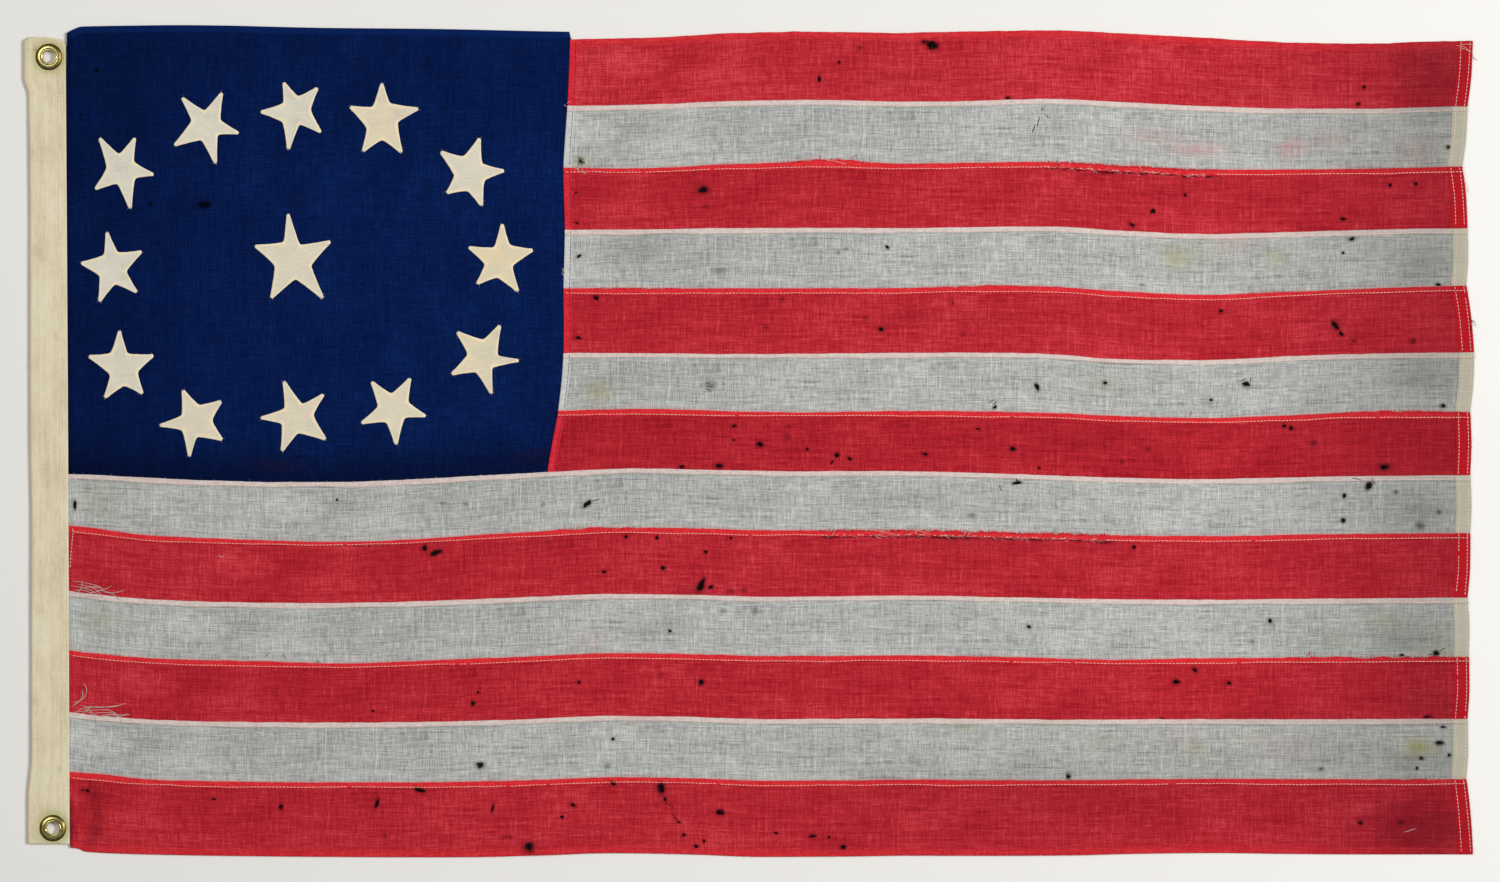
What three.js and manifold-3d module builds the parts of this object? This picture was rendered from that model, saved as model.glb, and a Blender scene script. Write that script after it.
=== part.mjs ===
import * as THREE from 'three';
import { mergeVertices } from 'three/addons/utils/BufferGeometryUtils.js';
import Module from 'manifold-3d';

// A worn flag of thirteen sewn stripes, laid out flat with its face up.
// X runs from the heading to the fly end, Y up the flag, Z out of its face, in millimetres.
// The origin is on the surface that the flag lies on, under the middle of it.

// One layer of cloth, and the room between layers that touch
const clothThick = 1;
const gap = 0.3;
const layer = clothThick + gap;

// Stripe widths from the top down, and the height of the first sewn line
const stripeWidths = [52, 48, 49, 46, 50, 45, 47, 44, 49, 45, 47, 46, 57];
const topLine = 310;
const shortStripes = 7;

// How far four of the lines rise above even ruling, at even steps from waveStart to waveEnd
const waveStart = -517;
const waveEnd = 547;
const lineWaves = [
  { seam: 0, rises: [-5, -5, -5, -5, -4, 1, 0, 2, -3, -8, -6] },
  { seam: 4, rises: [1, 1, 1, 1, 1, 1, 1, 2, -4, 1, 3] },
  { seam: 7, rises: [2, -3, -4, 1, 6, 4, 4, 1, -2, 0, 1] },
  { seam: 13, rises: [2, 0, -1, -1, 2, -1, 0, 0, 2, 1, 1] },
];
const longSeamLift = { rise: 4, reach: 60 }; // the long stripes' seams turn up at the heading
const bottomCorner = { rise: 9, reach: 18 }; // the bottom corner is rounded off
const topCorner = { rise: -6, reach: 14 };

// The canton's top edge over the even line, and its right edge at each seam that meets it
const cantonTopRises = [5, 6, 4, 3, 1];
const cantonRight = [-136, -138, -141, -140, -141, -141, -145, -153];

// The fly end at each seam, and how far a stripe's end bulges past its seams
const flyReach = [550, 546, 542, 546, 545, 551, 548, 548, 548, 546, 547, 546, 545, 550];
const flyBulge = 1;

// Seams: a folded band over the tail of the cloth above it, then a short ramp to the field
const band = 4.2;
const tail = 3.9;
const ramp = 1.4;
const sideBand = 5; // the short stripes' left ends, folded over the canton's edge
const sideTail = 4.5;
const sideRamp = 2;

// Hems are cloth turned over once, so they are two layers thick
const hemThick = 2 * clothThick;
const edgeHem = 5;
const flyHem = 11.5;
const hemStep = 1;

// The heading is a folded canvas tape, with the cloth's end sewn in between its two leaves
const heading = {
  thick: 3,
  leaf: 0.7,
  slotDepth: 8.6,
  clothDepth: 8,
  edgeMiddle: -517.2,
  edgeSlope: -0.0045,
  outer: [[-551, 304], [-551, 278], [-547.5, 262], [-546.5, 160], [-546.5, 20], [-545.5, -60],
    [-545.5, -240], [-548, -270], [-548, -306]],
  ends: { top: [[-544, 307], [-523, 305.5], [-519, 301]], bottom: [[-516, -306]] },
  slotTop: [270, 286],
  slotBottom: [-262, -279],
};
const headingFade = [1, 6, 12]; // where the cloth comes out of the heading and lies down

// Grommets: a barrel with a flange at the back and a rolled lip over the washer in front
const grommetCentres = { top: [-531.7, 291.7], bottom: [-528.7, -294.1] };
const pinch = 0.9; // how far the canvas is pressed in under a flange
const barrelRoom = 5.65;
const flangeRoom = 10.5;
const roundSteps = 24;
const grommetProfile = [
  [4.9, 0], [10, 0], [10, 0.6], [5.35, 0.6], [5.35, 3.35], [6.4, 3.4],
  [6.9, 3.8], [6.7, 4.3], [6.3, 4.5], [5.1, 4.5], [4.75, 4.2], [4.75, 0.2],
];
const washerProfile = [
  [5.7, 2.4], [10.1, 2.4], [10.1, 2.7], [9.5, 3.2], [8.4, 3.5], [7.4, 3.4], [6.6, 3.1], [5.7, 3],
];

// Stars cut by eye: centre, then the reach and heading in degrees of each tip and of the notch after it
const tipHalfWidth = 1.1;
const starSideBow = 1.2;
const starSideSteps = 3;
const starCuts = [
  { at: [-476, 207],
    tips: [[29, 127], [25, 68], [24, 349], [31, 281], [26, 217]],
    notches: [[11, 104], [10, 30], [12, 322], [12, 251], [12, 178]] },
  { at: [-412, 240],
    tips: [[28, 132], [27, 65], [25, 346], [30, 283], [29, 212]],
    notches: [[11, 99], [11, 20], [11, 319], [12, 250], [12, 164]] },
  { at: [-345, 250],
    tips: [[24, 111], [25, 47], [25, 322], [29, 260], [26, 180]],
    notches: [[12, 78], [12, 7], [10, 290], [12, 220], [11, 144]] },
  { at: [-279, 244],
    tips: [[28, 90], [29, 17], [29, 301], [28, 239], [26, 158]],
    notches: [[14, 64], [12, 351], [15, 271], [13, 209], [12, 125]] },
  { at: [-212, 203],
    tips: [[28, 75], [26, 5], [26, 290], [23, 220], [28, 143]],
    notches: [[12, 41], [12, 335], [13, 261], [12, 186], [14, 111]] },
  { at: [-189, 137],
    tips: [[28, 87], [26, 18], [27, 300], [25, 225], [26, 157]],
    notches: [[14, 59], [10, 335], [13, 259], [12, 193], [11, 115]] },
  { at: [-202, 63],
    tips: [[28, 63], [27, 356], [28, 283], [27, 207], [28, 135]],
    notches: [[11, 10], [10, 313], [12, 243], [12, 167], [14, 90]] },
  { at: [-270, 25],
    tips: [[26, 130], [26, 61], [25, 346], [28, 274], [27, 205]],
    notches: [[11, 99], [12, 22], [11, 318], [12, 242], [12, 175]] },
  { at: [-344, 18],
    tips: [[29, 109], [27, 40], [28, 323], [28, 247], [27, 181]],
    notches: [[11, 65], [13, 7], [12, 276], [12, 204], [11, 143]] },
  { at: [-422, 15],
    tips: [[25, 109], [26, 36], [26, 327], [27, 263], [26, 187]],
    notches: [[13, 72], [14, 2], [12, 281], [11, 218], [10, 154]] },
  { at: [-476, 56],
    tips: [[28, 95], [25, 21], [25, 307], [27, 240], [27, 162]],
    notches: [[11, 70], [12, 342], [14, 275], [11, 212], [14, 130]] },
  { at: [-484, 131],
    tips: [[28, 98], [26, 30], [26, 316], [27, 249], [24, 170]],
    notches: [[13, 70], [11, 350], [12, 281], [11, 211], [12, 121]] },
  { at: [-346, 138],
    tips: [[35, 97], [31, 26], [37, 307], [34, 240], [31, 161]],
    notches: [[12, 67], [14, 340], [15, 276], [15, 199], [15, 120]] },
];

const materials = {
  red: new THREE.MeshStandardMaterial({ color: 0xb42332, roughness: 0.95, metalness: 0 }),
  white: new THREE.MeshStandardMaterial({ color: 0xa5aaa8, roughness: 0.95, metalness: 0 }),
  blue: new THREE.MeshStandardMaterial({ color: 0x00164e, roughness: 0.95, metalness: 0 }),
  star: new THREE.MeshStandardMaterial({ color: 0xe1d4b9, roughness: 0.9, metalness: 0 }),
  canvas: new THREE.MeshStandardMaterial({ color: 0xdcd2b4, roughness: 0.9, metalness: 0 }),
  brass: new THREE.MeshStandardMaterial({ color: 0x968732, roughness: 0.35, metalness: 1 }),
};

const { clamp, lerp } = THREE.MathUtils;
const part = new THREE.Group();

function addPiece(name, geometry, material) {
  const mesh = new THREE.Mesh(geometry, material);
  mesh.name = name;
  part.add(mesh);
}

// A smooth line through values that stand at even steps; along runs from 0 to 1
function smoothThrough(values, along) {
  const curve = new THREE.SplineCurve(values.map((value, step) => new THREE.Vector2(step, value)));
  return curve.getPoint(clamp(along, 0, 1)).y;
}

// Even steps from one value to another, both ends included
function spread(from, to, steps) {
  return Array.from({ length: steps + 1 }, (unused, step) => lerp(from, to, step / steps));
}

// A lift that starts at the heading and fades to nothing over its reach
function fadeFromHeading(lift, x, y) {
  const near = clamp(1 - (x - headingEdge(y)) / lift.reach, 0, 1);
  return lift.rise * near * near;
}

function headingEdge(y) {
  return heading.edgeMiddle + heading.edgeSlope * y;
}

// Height of a whole-numbered sewn line at x, with line 0 the top edge and line 13 the bottom one
function seamHeight(seam, x) {
  const even = topLine - stripeWidths.slice(0, seam).reduce((sum, width) => sum + width, 0);
  const above = lineWaves.findLast((line) => line.seam <= seam);
  const below = lineWaves.find((line) => line.seam >= seam);
  const along = (x - waveStart) / (waveEnd - waveStart);
  const blend = above === below ? 0 : (seam - above.seam) / (below.seam - above.seam);
  const wave = lerp(smoothThrough(above.rises, along), smoothThrough(below.rises, along), blend);
  let lift = 0;
  if (seam === stripeWidths.length) {
    lift = fadeFromHeading(bottomCorner, x, even);
  } else if (seam > shortStripes) {
    lift = fadeFromHeading(longSeamLift, x, even);
  }
  return even + wave + lift;
}

function cantonTop(x) {
  const along = (x - waveStart) / (cantonRight[0] - waveStart);
  return topLine + smoothThrough(cantonTopRises, along) + fadeFromHeading(topCorner, x, topLine);
}

function cantonEdge(seamPlace) {
  return smoothThrough(cantonRight, seamPlace / shortStripes);
}

// The fly end of a stripe, part of the way from its top seam to its bottom one
function flyEdge(stripe, part) {
  const down = clamp(part, 0, 1);
  return lerp(flyReach[stripe], flyReach[stripe + 1], down) + flyBulge * Math.sin(Math.PI * down);
}

// The cloth's hoist end lies in the heading's slot, but stops short of the two grommets
function hoistEnd(y) {
  const [deepTop, freeTop] = heading.slotTop;
  const [deepBottom, freeBottom] = heading.slotBottom;
  const free = y > 0
    ? clamp((y - deepTop + 2) / (freeTop - deepTop - 1), 0, 1)
    : clamp((deepBottom + 2 - y) / (deepBottom - freeBottom - 1), 0, 1);
  return headingEdge(y) + lerp(-heading.clothDepth, gap, free);
}

// How high the cloth's underside lies at the heading's columns, and whether its seams lap there
const headingColumns = [
  { low: heading.leaf + gap, lapped: false, tailed: false },
  { low: heading.leaf + gap, lapped: false, tailed: false },
  { low: (heading.leaf + gap) / 2, lapped: true, tailed: false },
];
const openColumn = { low: 0, lapped: true, tailed: true };

// A closed sheet on a grid: place(column, row) gives the point and its lower and upper heights
function makeSheet(columns, rows, place) {
  const geometry = new THREE.BoxGeometry(1, 1, 1, columns - 1, rows - 1, 1);
  const position = geometry.getAttribute('position');
  for (let index = 0; index < position.count; index += 1) {
    const column = Math.round((position.getX(index) + 0.5) * (columns - 1));
    const row = Math.round((0.5 - position.getY(index)) * (rows - 1));
    const point = place(column, row);
    position.setXYZ(index, point.x, point.y, position.getZ(index) > 0 ? point.high : point.low);
  }
  return closeUp(geometry);
}

function closeUp(geometry) {
  geometry.deleteAttribute('normal');
  geometry.deleteAttribute('uv');
  const closed = mergeVertices(geometry);
  closed.computeVertexNormals();
  return closed;
}

// The rows of a stripe at x, from its top edge down, and how far down the stripe each one lies
const stripeParts = [0, 0.1, 0.13, 0.5, 0.96, 0.98, 1.08];

function stripeRows(stripe, x, column) {
  const top = seamHeight(stripe, x);
  const bottom = seamHeight(stripe + 1, x);
  const first = stripe === 0;
  const last = stripe === stripeWidths.length - 1;
  const lap = !first && column.lapped ? 1 : 0;
  const upper = [
    { y: top, lap, hem: first },
    { y: top - band, lap, hem: first },
    { y: top - band - (first ? hemStep : ramp), lap: 0, flyHem: true },
    { y: (top + bottom) / 2, lap: 0, flyHem: true },
  ];
  const lower = last
    ? [
      { y: bottom + edgeHem + hemStep, lap: 0, flyHem: true },
      { y: bottom + edgeHem, lap: 0, hem: true },
      { y: bottom, lap: 0, hem: true },
    ]
    : [
      { y: bottom + 3 * gap + hemStep, lap: 0, flyHem: true },
      { y: bottom + 3 * gap, lap: 0 },
      { y: bottom - (column.tailed ? tail : -gap), lap: 0 },
    ];
  return [...upper, ...lower];
}

function thicknessOf(row, column) {
  const doubled = (row.hem && column.tailed) || (row.flyHem && column.flyHem);
  return doubled ? hemThick : clothThick;
}

// The last three columns of every stripe step up onto the fly end's hem
function flyColumns(stripe, part) {
  const edge = flyEdge(stripe, part);
  return [
    { ...openColumn, x: edge - flyHem - hemStep },
    { ...openColumn, x: edge - flyHem, flyHem: true },
    { ...openColumn, x: edge, flyHem: true },
  ];
}

// A short stripe starts on the canton's edge, one layer up, and steps down off it
function shortColumns(stripe, part) {
  const left = cantonEdge(stripe + part);
  const fieldStart = left + sideBand + sideRamp;
  const fieldEnd = Math.min(...flyReach) - flyHem - 5 * hemStep;
  return [
    { ...openColumn, x: left, low: layer },
    { ...openColumn, x: left + sideBand, low: layer },
    ...spread(fieldStart, fieldEnd, 11).map((x) => ({ ...openColumn, x })),
    ...flyColumns(stripe, part),
  ];
}

// A long stripe starts in the heading; the first one's band also climbs over the canton's corner
function longColumns(stripe, part, y) {
  const edge = headingEdge(y);
  const fieldStart = edge + headingFade[2];
  const fieldEnd = Math.min(...flyReach) - flyHem - 5 * hemStep;
  const corner = cantonRight[shortStripes];
  const field = stripe === shortStripes
    ? [
      ...spread(fieldStart, corner - 4, 7).map((x) => ({ x })),
      { x: corner - 2.5, overCorner: true },
      { x: corner + sideBand + 0.5, overCorner: true },
      ...spread(corner + sideBand + sideRamp + 0.5, fieldEnd, 11).map((x) => ({ x })),
    ]
    : spread(fieldStart, fieldEnd, 18).map((x) => ({ x }));
  return [
    { ...headingColumns[0], x: hoistEnd(y) },
    { ...headingColumns[1], x: edge + headingFade[0] },
    { ...headingColumns[2], x: edge + headingFade[1] },
    ...field.map((column) => ({ ...openColumn, ...column })),
    ...flyColumns(stripe, part),
  ];
}

function makeStripe(stripe) {
  const short = stripe < shortStripes;
  const middle = (seamHeight(stripe, waveStart) + seamHeight(stripe + 1, waveStart)) / 2;
  const columnsAt = (part, y) => (short ? shortColumns(stripe, part) : longColumns(stripe, part, y));
  return makeSheet(columnsAt(0, middle).length, stripeParts.length, (columnIndex, rowIndex) => {
    const part = stripeParts[rowIndex];
    const rough = columnsAt(part, middle)[columnIndex];
    const y = stripeRows(stripe, rough.x, rough)[rowIndex].y;
    const column = columnsAt(part, y)[columnIndex];
    const row = stripeRows(stripe, column.x, column)[rowIndex];
    const lift = row.lap * (layer + (column.overCorner ? layer : 0));
    const low = column.low + lift;
    return { x: column.x, y: row.y, low, high: low + thicknessOf(row, column) };
  });
}

// The canton's rows: its hem, one for each seam that it meets, and the tail under the stripe below
const cantonSeamPlaces = [0, 0.1, 0.12, 0.5, 0.82, 1.5, 2.25, 3, 4, 5, 5.5, 6, 6.5, 7, 7.1];
const cantonHemRows = 2;
const cantonFieldSteps = 10;

function cantonPoint(columnIndex, rowIndex) {
  const place = cantonSeamPlaces[rowIndex];
  const lastRow = cantonSeamPlaces.length - 1;
  const right = cantonEdge(place);
  const pastField = columnIndex - headingColumns.length - cantonFieldSteps; // 1 at the edge, 2 in the tail
  const inTail = pastField === 2;
  const heightAt = (x, column) => {
    const top = inTail ? seamHeight(0, x) - hemStep / 2 : cantonTop(x);
    const bottom = seamHeight(shortStripes, x);
    if (rowIndex === lastRow) {
      return bottom - (column.tailed ? tail : -gap);
    }
    if (rowIndex === lastRow - 1) {
      return bottom + 3 * gap;
    }
    const hems = [top, top - edgeHem, top - edgeHem - hemStep];
    return rowIndex <= cantonHemRows ? hems[rowIndex] : lerp(top, bottom, place / shortStripes);
  };
  const rough = heightAt(waveStart, openColumn);
  const edge = headingEdge(rough);
  let column = openColumn;
  let x = inTail ? right + sideTail : right - gap;
  if (columnIndex < headingColumns.length) {
    column = headingColumns[columnIndex];
    x = columnIndex === 0 ? hoistEnd(rough) : edge + headingFade[columnIndex - 1];
  } else if (pastField <= 0) {
    const along = (columnIndex - headingColumns.length) / cantonFieldSteps;
    x = lerp(edge + headingFade[2], right - hemStep - gap, along);
  }
  const hemmed = rowIndex < cantonHemRows && column.tailed && pastField <= 0;
  return {
    x,
    y: heightAt(x, column),
    low: column.low,
    high: column.low + (hemmed ? hemThick : clothThick),
  };
}

function makeCanton() {
  return makeSheet(headingColumns.length + cantonFieldSteps + 3, cantonSeamPlaces.length, cantonPoint);
}

// A star's outline: from a blunt tip each side bows in a little on its way to the notch
function makeStar(cut) {
  const polar = ([reach, degrees]) => {
    const angle = THREE.MathUtils.degToRad(degrees);
    return new THREE.Vector2(Math.cos(angle) * reach, Math.sin(angle) * reach);
  };
  const bowed = (tip, notch) => {
    const middle = tip.clone().lerp(notch, 0.5);
    return middle.setLength(middle.length() - starSideBow);
  };
  const shape = new THREE.Shape();
  cut.tips.forEach((tip, index) => {
    const next = cut.tips[(index + 1) % cut.tips.length];
    const start = polar(tip).add(polar([tipHalfWidth, tip[1] - 90]));
    const end = polar(next).add(polar([tipHalfWidth, next[1] + 90]));
    const notch = polar(cut.notches[index]);
    const firstHandle = bowed(start, notch);
    const secondHandle = bowed(end, notch);
    if (index === 0) {
      shape.moveTo(start.x, start.y);
    }
    shape.quadraticCurveTo(firstHandle.x, firstHandle.y, notch.x, notch.y);
    shape.quadraticCurveTo(secondHandle.x, secondHandle.y, end.x, end.y);
    if (index < cut.tips.length - 1) {
      const leave = polar(next).add(polar([tipHalfWidth, next[1] - 90]));
      shape.lineTo(leave.x, leave.y);
    }
  });
  const options = { depth: clothThick, bevelEnabled: false, curveSegments: starSideSteps };
  return new THREE.ExtrudeGeometry(shape, options).translate(cut.at[0], cut.at[1], layer);
}

const wasm = await Module();
wasm.setup();

function toSolid(geometry) {
  const closed = closeUp(geometry);
  return new wasm.Manifold(new wasm.Mesh({
    numProp: 3,
    vertProperties: new Float32Array(closed.getAttribute('position').array),
    triVerts: new Uint32Array(closed.index.array),
  }));
}

function toGeometry(solid) {
  const mesh = solid.getMesh();
  const geometry = new THREE.BufferGeometry();
  geometry.setAttribute('position', new THREE.BufferAttribute(mesh.vertProperties, 3));
  geometry.setIndex(new THREE.BufferAttribute(mesh.triVerts, 1));
  geometry.computeVertexNormals();
  return geometry;
}

// A flat plate with the given outline between two heights
function plate(outline, low, high) {
  const shape = new THREE.Shape(outline.map(([x, y]) => new THREE.Vector2(x, y)));
  return new THREE.ExtrudeGeometry(shape, { depth: high - low, bevelEnabled: false }).translate(0, 0, low);
}

function disc([x, y], radius, low, high) {
  const geometry = new THREE.CylinderGeometry(radius, radius, high - low, roundSteps);
  return geometry.rotateX(Math.PI / 2).translate(x, y, (low + high) / 2);
}

function makeHeading() {
  const { outer, ends, thick, leaf, slotDepth, slotTop, slotBottom } = heading;
  const outline = [...outer, ...ends.bottom, [headingEdge(0), 0], ...ends.top.toReversed()];
  const past = 3; // the cutter runs on out of the heading's inner edge
  const slot = [
    [headingEdge(slotTop[0]) - slotDepth, slotTop[0]],
    [headingEdge(slotBottom[0]) - slotDepth, slotBottom[0]],
    [headingEdge(slotBottom[1]), slotBottom[1]],
    [headingEdge(slotBottom[1]) + past, slotBottom[1] - past],
    [headingEdge(slotTop[1]) + past, slotTop[1] + past],
    [headingEdge(slotTop[1]), slotTop[1]],
  ];
  let solid = toSolid(plate(outline, 0, thick));
  solid = solid.subtract(toSolid(plate(slot, leaf, thick - leaf)));
  Object.values(grommetCentres).forEach((centre) => {
    solid = solid.subtract(toSolid(disc(centre, flangeRoom, -1, pinch)));
    solid = solid.subtract(toSolid(disc(centre, flangeRoom, thick - pinch, thick + 1)));
    solid = solid.subtract(toSolid(disc(centre, barrelRoom, -1, thick + 1)));
  });
  return toGeometry(solid);
}

// A turned ring: the profile is closed on itself, then stood up along Z at its place
function turned(profile, [x, y]) {
  const points = [...profile, profile[0]].map(([radius, height]) => new THREE.Vector2(radius, height));
  return new THREE.LatheGeometry(points, roundSteps).rotateX(Math.PI / 2).translate(x, y, 0);
}

addPiece('canton', makeCanton(), materials.blue);
stripeWidths.forEach((unused, stripe) => {
  const name = `stripe_${String(stripe + 1).padStart(2, '0')}`;
  addPiece(name, makeStripe(stripe), stripe % 2 === 0 ? materials.red : materials.white);
});
starCuts.forEach((cut, index) => {
  addPiece(`star_${String(index + 1).padStart(2, '0')}`, makeStar(cut), materials.star);
});
addPiece('heading', makeHeading(), materials.canvas);
Object.entries(grommetCentres).forEach(([place, centre]) => {
  addPiece(`grommet_${place}`, turned(grommetProfile, centre), materials.brass);
  addPiece(`washer_${place}`, turned(washerProfile, centre), materials.brass);
});

export default part;
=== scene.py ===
import math
import bmesh
import bpy
import numpy as np
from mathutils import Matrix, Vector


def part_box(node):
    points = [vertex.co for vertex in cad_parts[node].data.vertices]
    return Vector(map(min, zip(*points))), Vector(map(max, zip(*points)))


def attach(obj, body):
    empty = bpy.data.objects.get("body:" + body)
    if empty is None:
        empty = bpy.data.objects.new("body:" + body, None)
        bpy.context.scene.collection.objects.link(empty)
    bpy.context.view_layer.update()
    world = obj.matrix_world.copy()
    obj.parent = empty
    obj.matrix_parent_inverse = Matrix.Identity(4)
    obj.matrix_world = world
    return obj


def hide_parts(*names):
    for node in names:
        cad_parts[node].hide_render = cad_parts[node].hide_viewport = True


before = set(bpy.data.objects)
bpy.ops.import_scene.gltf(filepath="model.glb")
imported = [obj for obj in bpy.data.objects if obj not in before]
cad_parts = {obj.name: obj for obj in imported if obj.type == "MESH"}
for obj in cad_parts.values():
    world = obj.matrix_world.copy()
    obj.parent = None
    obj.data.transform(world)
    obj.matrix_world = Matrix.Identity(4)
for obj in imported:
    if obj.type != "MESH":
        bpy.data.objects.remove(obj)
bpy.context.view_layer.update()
print("frame loaded")

# Sizes are millimetres on the flag, and a mesh is made in metres. Places read off the photo are pixels.
metre = 0.001
weld = 0.00002  # corners closer than this, in metres, are one
seeds = {"sewing": 71, "frays": 81, "starFrays": 83, "spots": 300, "looseThreads": 900}
photo = {"mmPerPixel": 0.76, "middle": (749, 441), "size": (1500, 882)}


def spot(px, py):
    middle, scale = photo["middle"], photo["mmPerPixel"]
    return (np.asarray(px, float) - middle[0]) * scale, (middle[1] - np.asarray(py, float)) * scale


# Small helpers on arrays

def step(low, high, value):  # 0 below low, 1 above high, and smooth between
    t = np.clip((np.asarray(value, float) - low) / (high - low), 0, 1)
    return t * t * (3 - 2 * t)


def softNoise(x, y, size, seed):  # smooth noise from -1 to 1, with bumps of about that size
    cells = 128
    table = np.random.default_rng(seed).uniform(-1, 1, (cells, cells))
    u, v = np.asarray(x, float) / size + 1000, np.asarray(y, float) / size + 1000
    i, j = np.floor(u).astype(int), np.floor(v).astype(int)
    p, q = step(0, 1, u - i), step(0, 1, v - j)
    low = table[i % cells, j % cells] * (1 - p) + table[(i + 1) % cells, j % cells] * p
    high = table[i % cells, (j + 1) % cells] * (1 - p) + table[(i + 1) % cells, (j + 1) % cells] * p
    return low * (1 - q) + high * q


def smoothLine(points):  # a curve through points that are (along, across), and never past them
    along, across = np.array(sorted(points)).T
    rises = np.diff(across) / np.diff(along)
    product = rises[:-1] * rises[1:]
    gentle = 2 * product / np.where(product > 0, rises[:-1] + rises[1:], 1)
    slope = np.concatenate([rises[:1], np.where(product > 0, gentle, 0), rises[-1:]])

    def curve(at):
        at = np.clip(at, along[0], along[-1])
        i = np.clip(np.searchsorted(along, at) - 1, 0, len(along) - 2)
        width = along[i + 1] - along[i]
        t = (at - along[i]) / width
        start = (1 + 2 * t) * (1 - t) ** 2 * across[i] + t * (1 - t) ** 2 * width * slope[i]
        end = t * t * (3 - 2 * t) * across[i + 1] + t * t * (t - 1) * width * slope[i + 1]
        return start + end

    return curve


# Each noise's size of bump in millimetres, and its seed
grain = {
    "swell": (120, 3), "ripple": (30, 4), "pucker": (7, 5), "tornBand": (3, 8),
    "blotEdge": (9, 21), "blotFleck": (4, 22),
    "foldShort": (3.2, 31), "foldLong": (11, 32), "foldTorn": (2.6, 33), "foldFrayed": (4.5, 39),
    "bandLong": (30, 34), "bandShort": (9, 37), "bandLine": (6, 35), "gap": (5, 36), "seamBleed": (40, 38),
    "seamSewingLong": (60, 45), "seamSewingShort": (12, 46), "sideSewing": (25, 47), "flySewing": (45, 48),
    "headingSewing": (20, 49), "starFace": (5, 51), "starEdge": (6, 41), "canvas": (12, 61),
    "canvasThreads": (9, 62),
}
stripeRow = 40  # moves each stripe to its own row of a noise


def alongStripe(stripe, x, kind):
    return softNoise(x, stripe * stripeRow, *grain[kind])


# The edges of the cloth, read from the solids

def wallLine(node, facing, reach=2000, least=0.8):  # the side of a solid that faces one way, as a curve
    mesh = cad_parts[node].data
    sign = facing[0] + facing[1]
    sideways = 1 if facing[0] == 0 else 0
    found = {}
    for face in mesh.polygons:
        upright = abs(face.normal.z) < 0.1
        if upright and face.normal.x * facing[0] + face.normal.y * facing[1] > least:
            for corner in face.vertices:
                place = mesh.vertices[corner].co / metre
                along = round(place[1 - sideways], 1)
                found[along] = max(found.get(along, -1e9), place[sideways] * sign)
    furthest = max(found.values())
    return smoothLine([(along, far * sign) for along, far in found.items() if far > furthest - reach])


stripeCount = 13
shortStripes = 7
stripeNames = [f"stripe_{number:02d}" for number in range(1, stripeCount + 1)]
seams = [wallLine(name, (0, 1)) for name in stripeNames] + [wallLine(stripeNames[-1], (0, -1))]
leftEdges = [wallLine(name, (-1, 0)) for name in stripeNames]
rightEdges = [wallLine(name, (1, 0)) for name in stripeNames]

# Places where a sewn line strays from its solid: line, middle and half length in photo pixels, rise in mm
seamBumps = [
    (2, 831, 42, 3.0), (2, 640, 70, -1.6), (4, 985, 50, 1.4), (4, 1330, 80, -1.4), (5, 1110, 60, -1.8),
    (6, 800, 90, -1.2), (6, 1390, 60, 1.8), (8, 360, 120, -2.0), (8, 90, 26, 1.4), (10, 350, 60, -1.6),
    (10, 1110, 60, -1.4), (12, 100, 34, 1.6), (5, 700, 120, -1.2), (9, 700, 160, -0.8), (1, 960, 60, -1.0),
]


def bumpRise(number, x):
    rise = 0
    for seam, middle, reach, high in seamBumps:
        if seam == number:
            away = (x - spot(middle, 0)[0]) / (reach * photo["mmPerPixel"])
            rise = rise + high * np.exp(-away * away)
    return rise


def withBumps(line, number):
    return lambda x: line(x) + bumpRise(number, x)


seams = [withBumps(line, number) for number, line in enumerate(seams)]
cantonTop = wallLine("canton", (0, 1))
cantonTail = wallLine("canton", (1, 0))
cantonHoist = wallLine("canton", (-1, 0))
edgeReach = 6.5  # leaves out the walls round the grommets
headingInner = wallLine("heading", (1, 0), reach=edgeReach)
headingOuter = wallLine("heading", (-1, 0), reach=edgeReach)
headingTop = wallLine("heading", (0, 1), reach=edgeReach, least=0.5)
headingFoot = wallLine("heading", (0, -1), reach=edgeReach)
print("edges read from the frame")

# How the cloth lies

cloth = {
    "thick": 0.5,
    "fieldTop": 0.7,
    "bandRise": 0.85,    # a folded band lies over the tail of the cloth above it
    "band": 4.2,
    "whiteBand": 0.87,   # a white stripe's band is narrower by this share
    "sideBand": 5.0,
    "hemRise": 0.35,
    "edgeHem": 5.0,
    "flyHem": 11.5,
    "headingRise": 1.05,  # up to the middle of the heading, which holds the cloth's end
    "rollDeep": 0.3,
    "rollWide": 0.7,
    "bandSlope": (-0.3, 1.0),
    "hemSlope": (-0.2, 0.6),
    "doubled": 0.25,     # how much lower the underside of a band lies
}
# Reaches from the heading's inner edge, over which the cloth changes
fromHoist = {
    "swells": (6, 45), "creases": (1, 10), "climb": (1, 12), "bands": (1, 6), "hem": (-1, 4), "tails": (1, 7),
}
swell = {"high": 0.55, "stretch": 1.6}
ripple = {"high": 0.15}
pucker = {"high": 0.2, "stretch": 0.22, "reach": 8}
tornBand = {"high": 0.35, "reach": (5, 9)}
# Where stripe 8's band climbs over the canton's lower corner, from that corner and down from the seam
cornerClimb = {"start": (-3, 0), "end": (5, 7), "down": (4, 5.5)}

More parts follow.
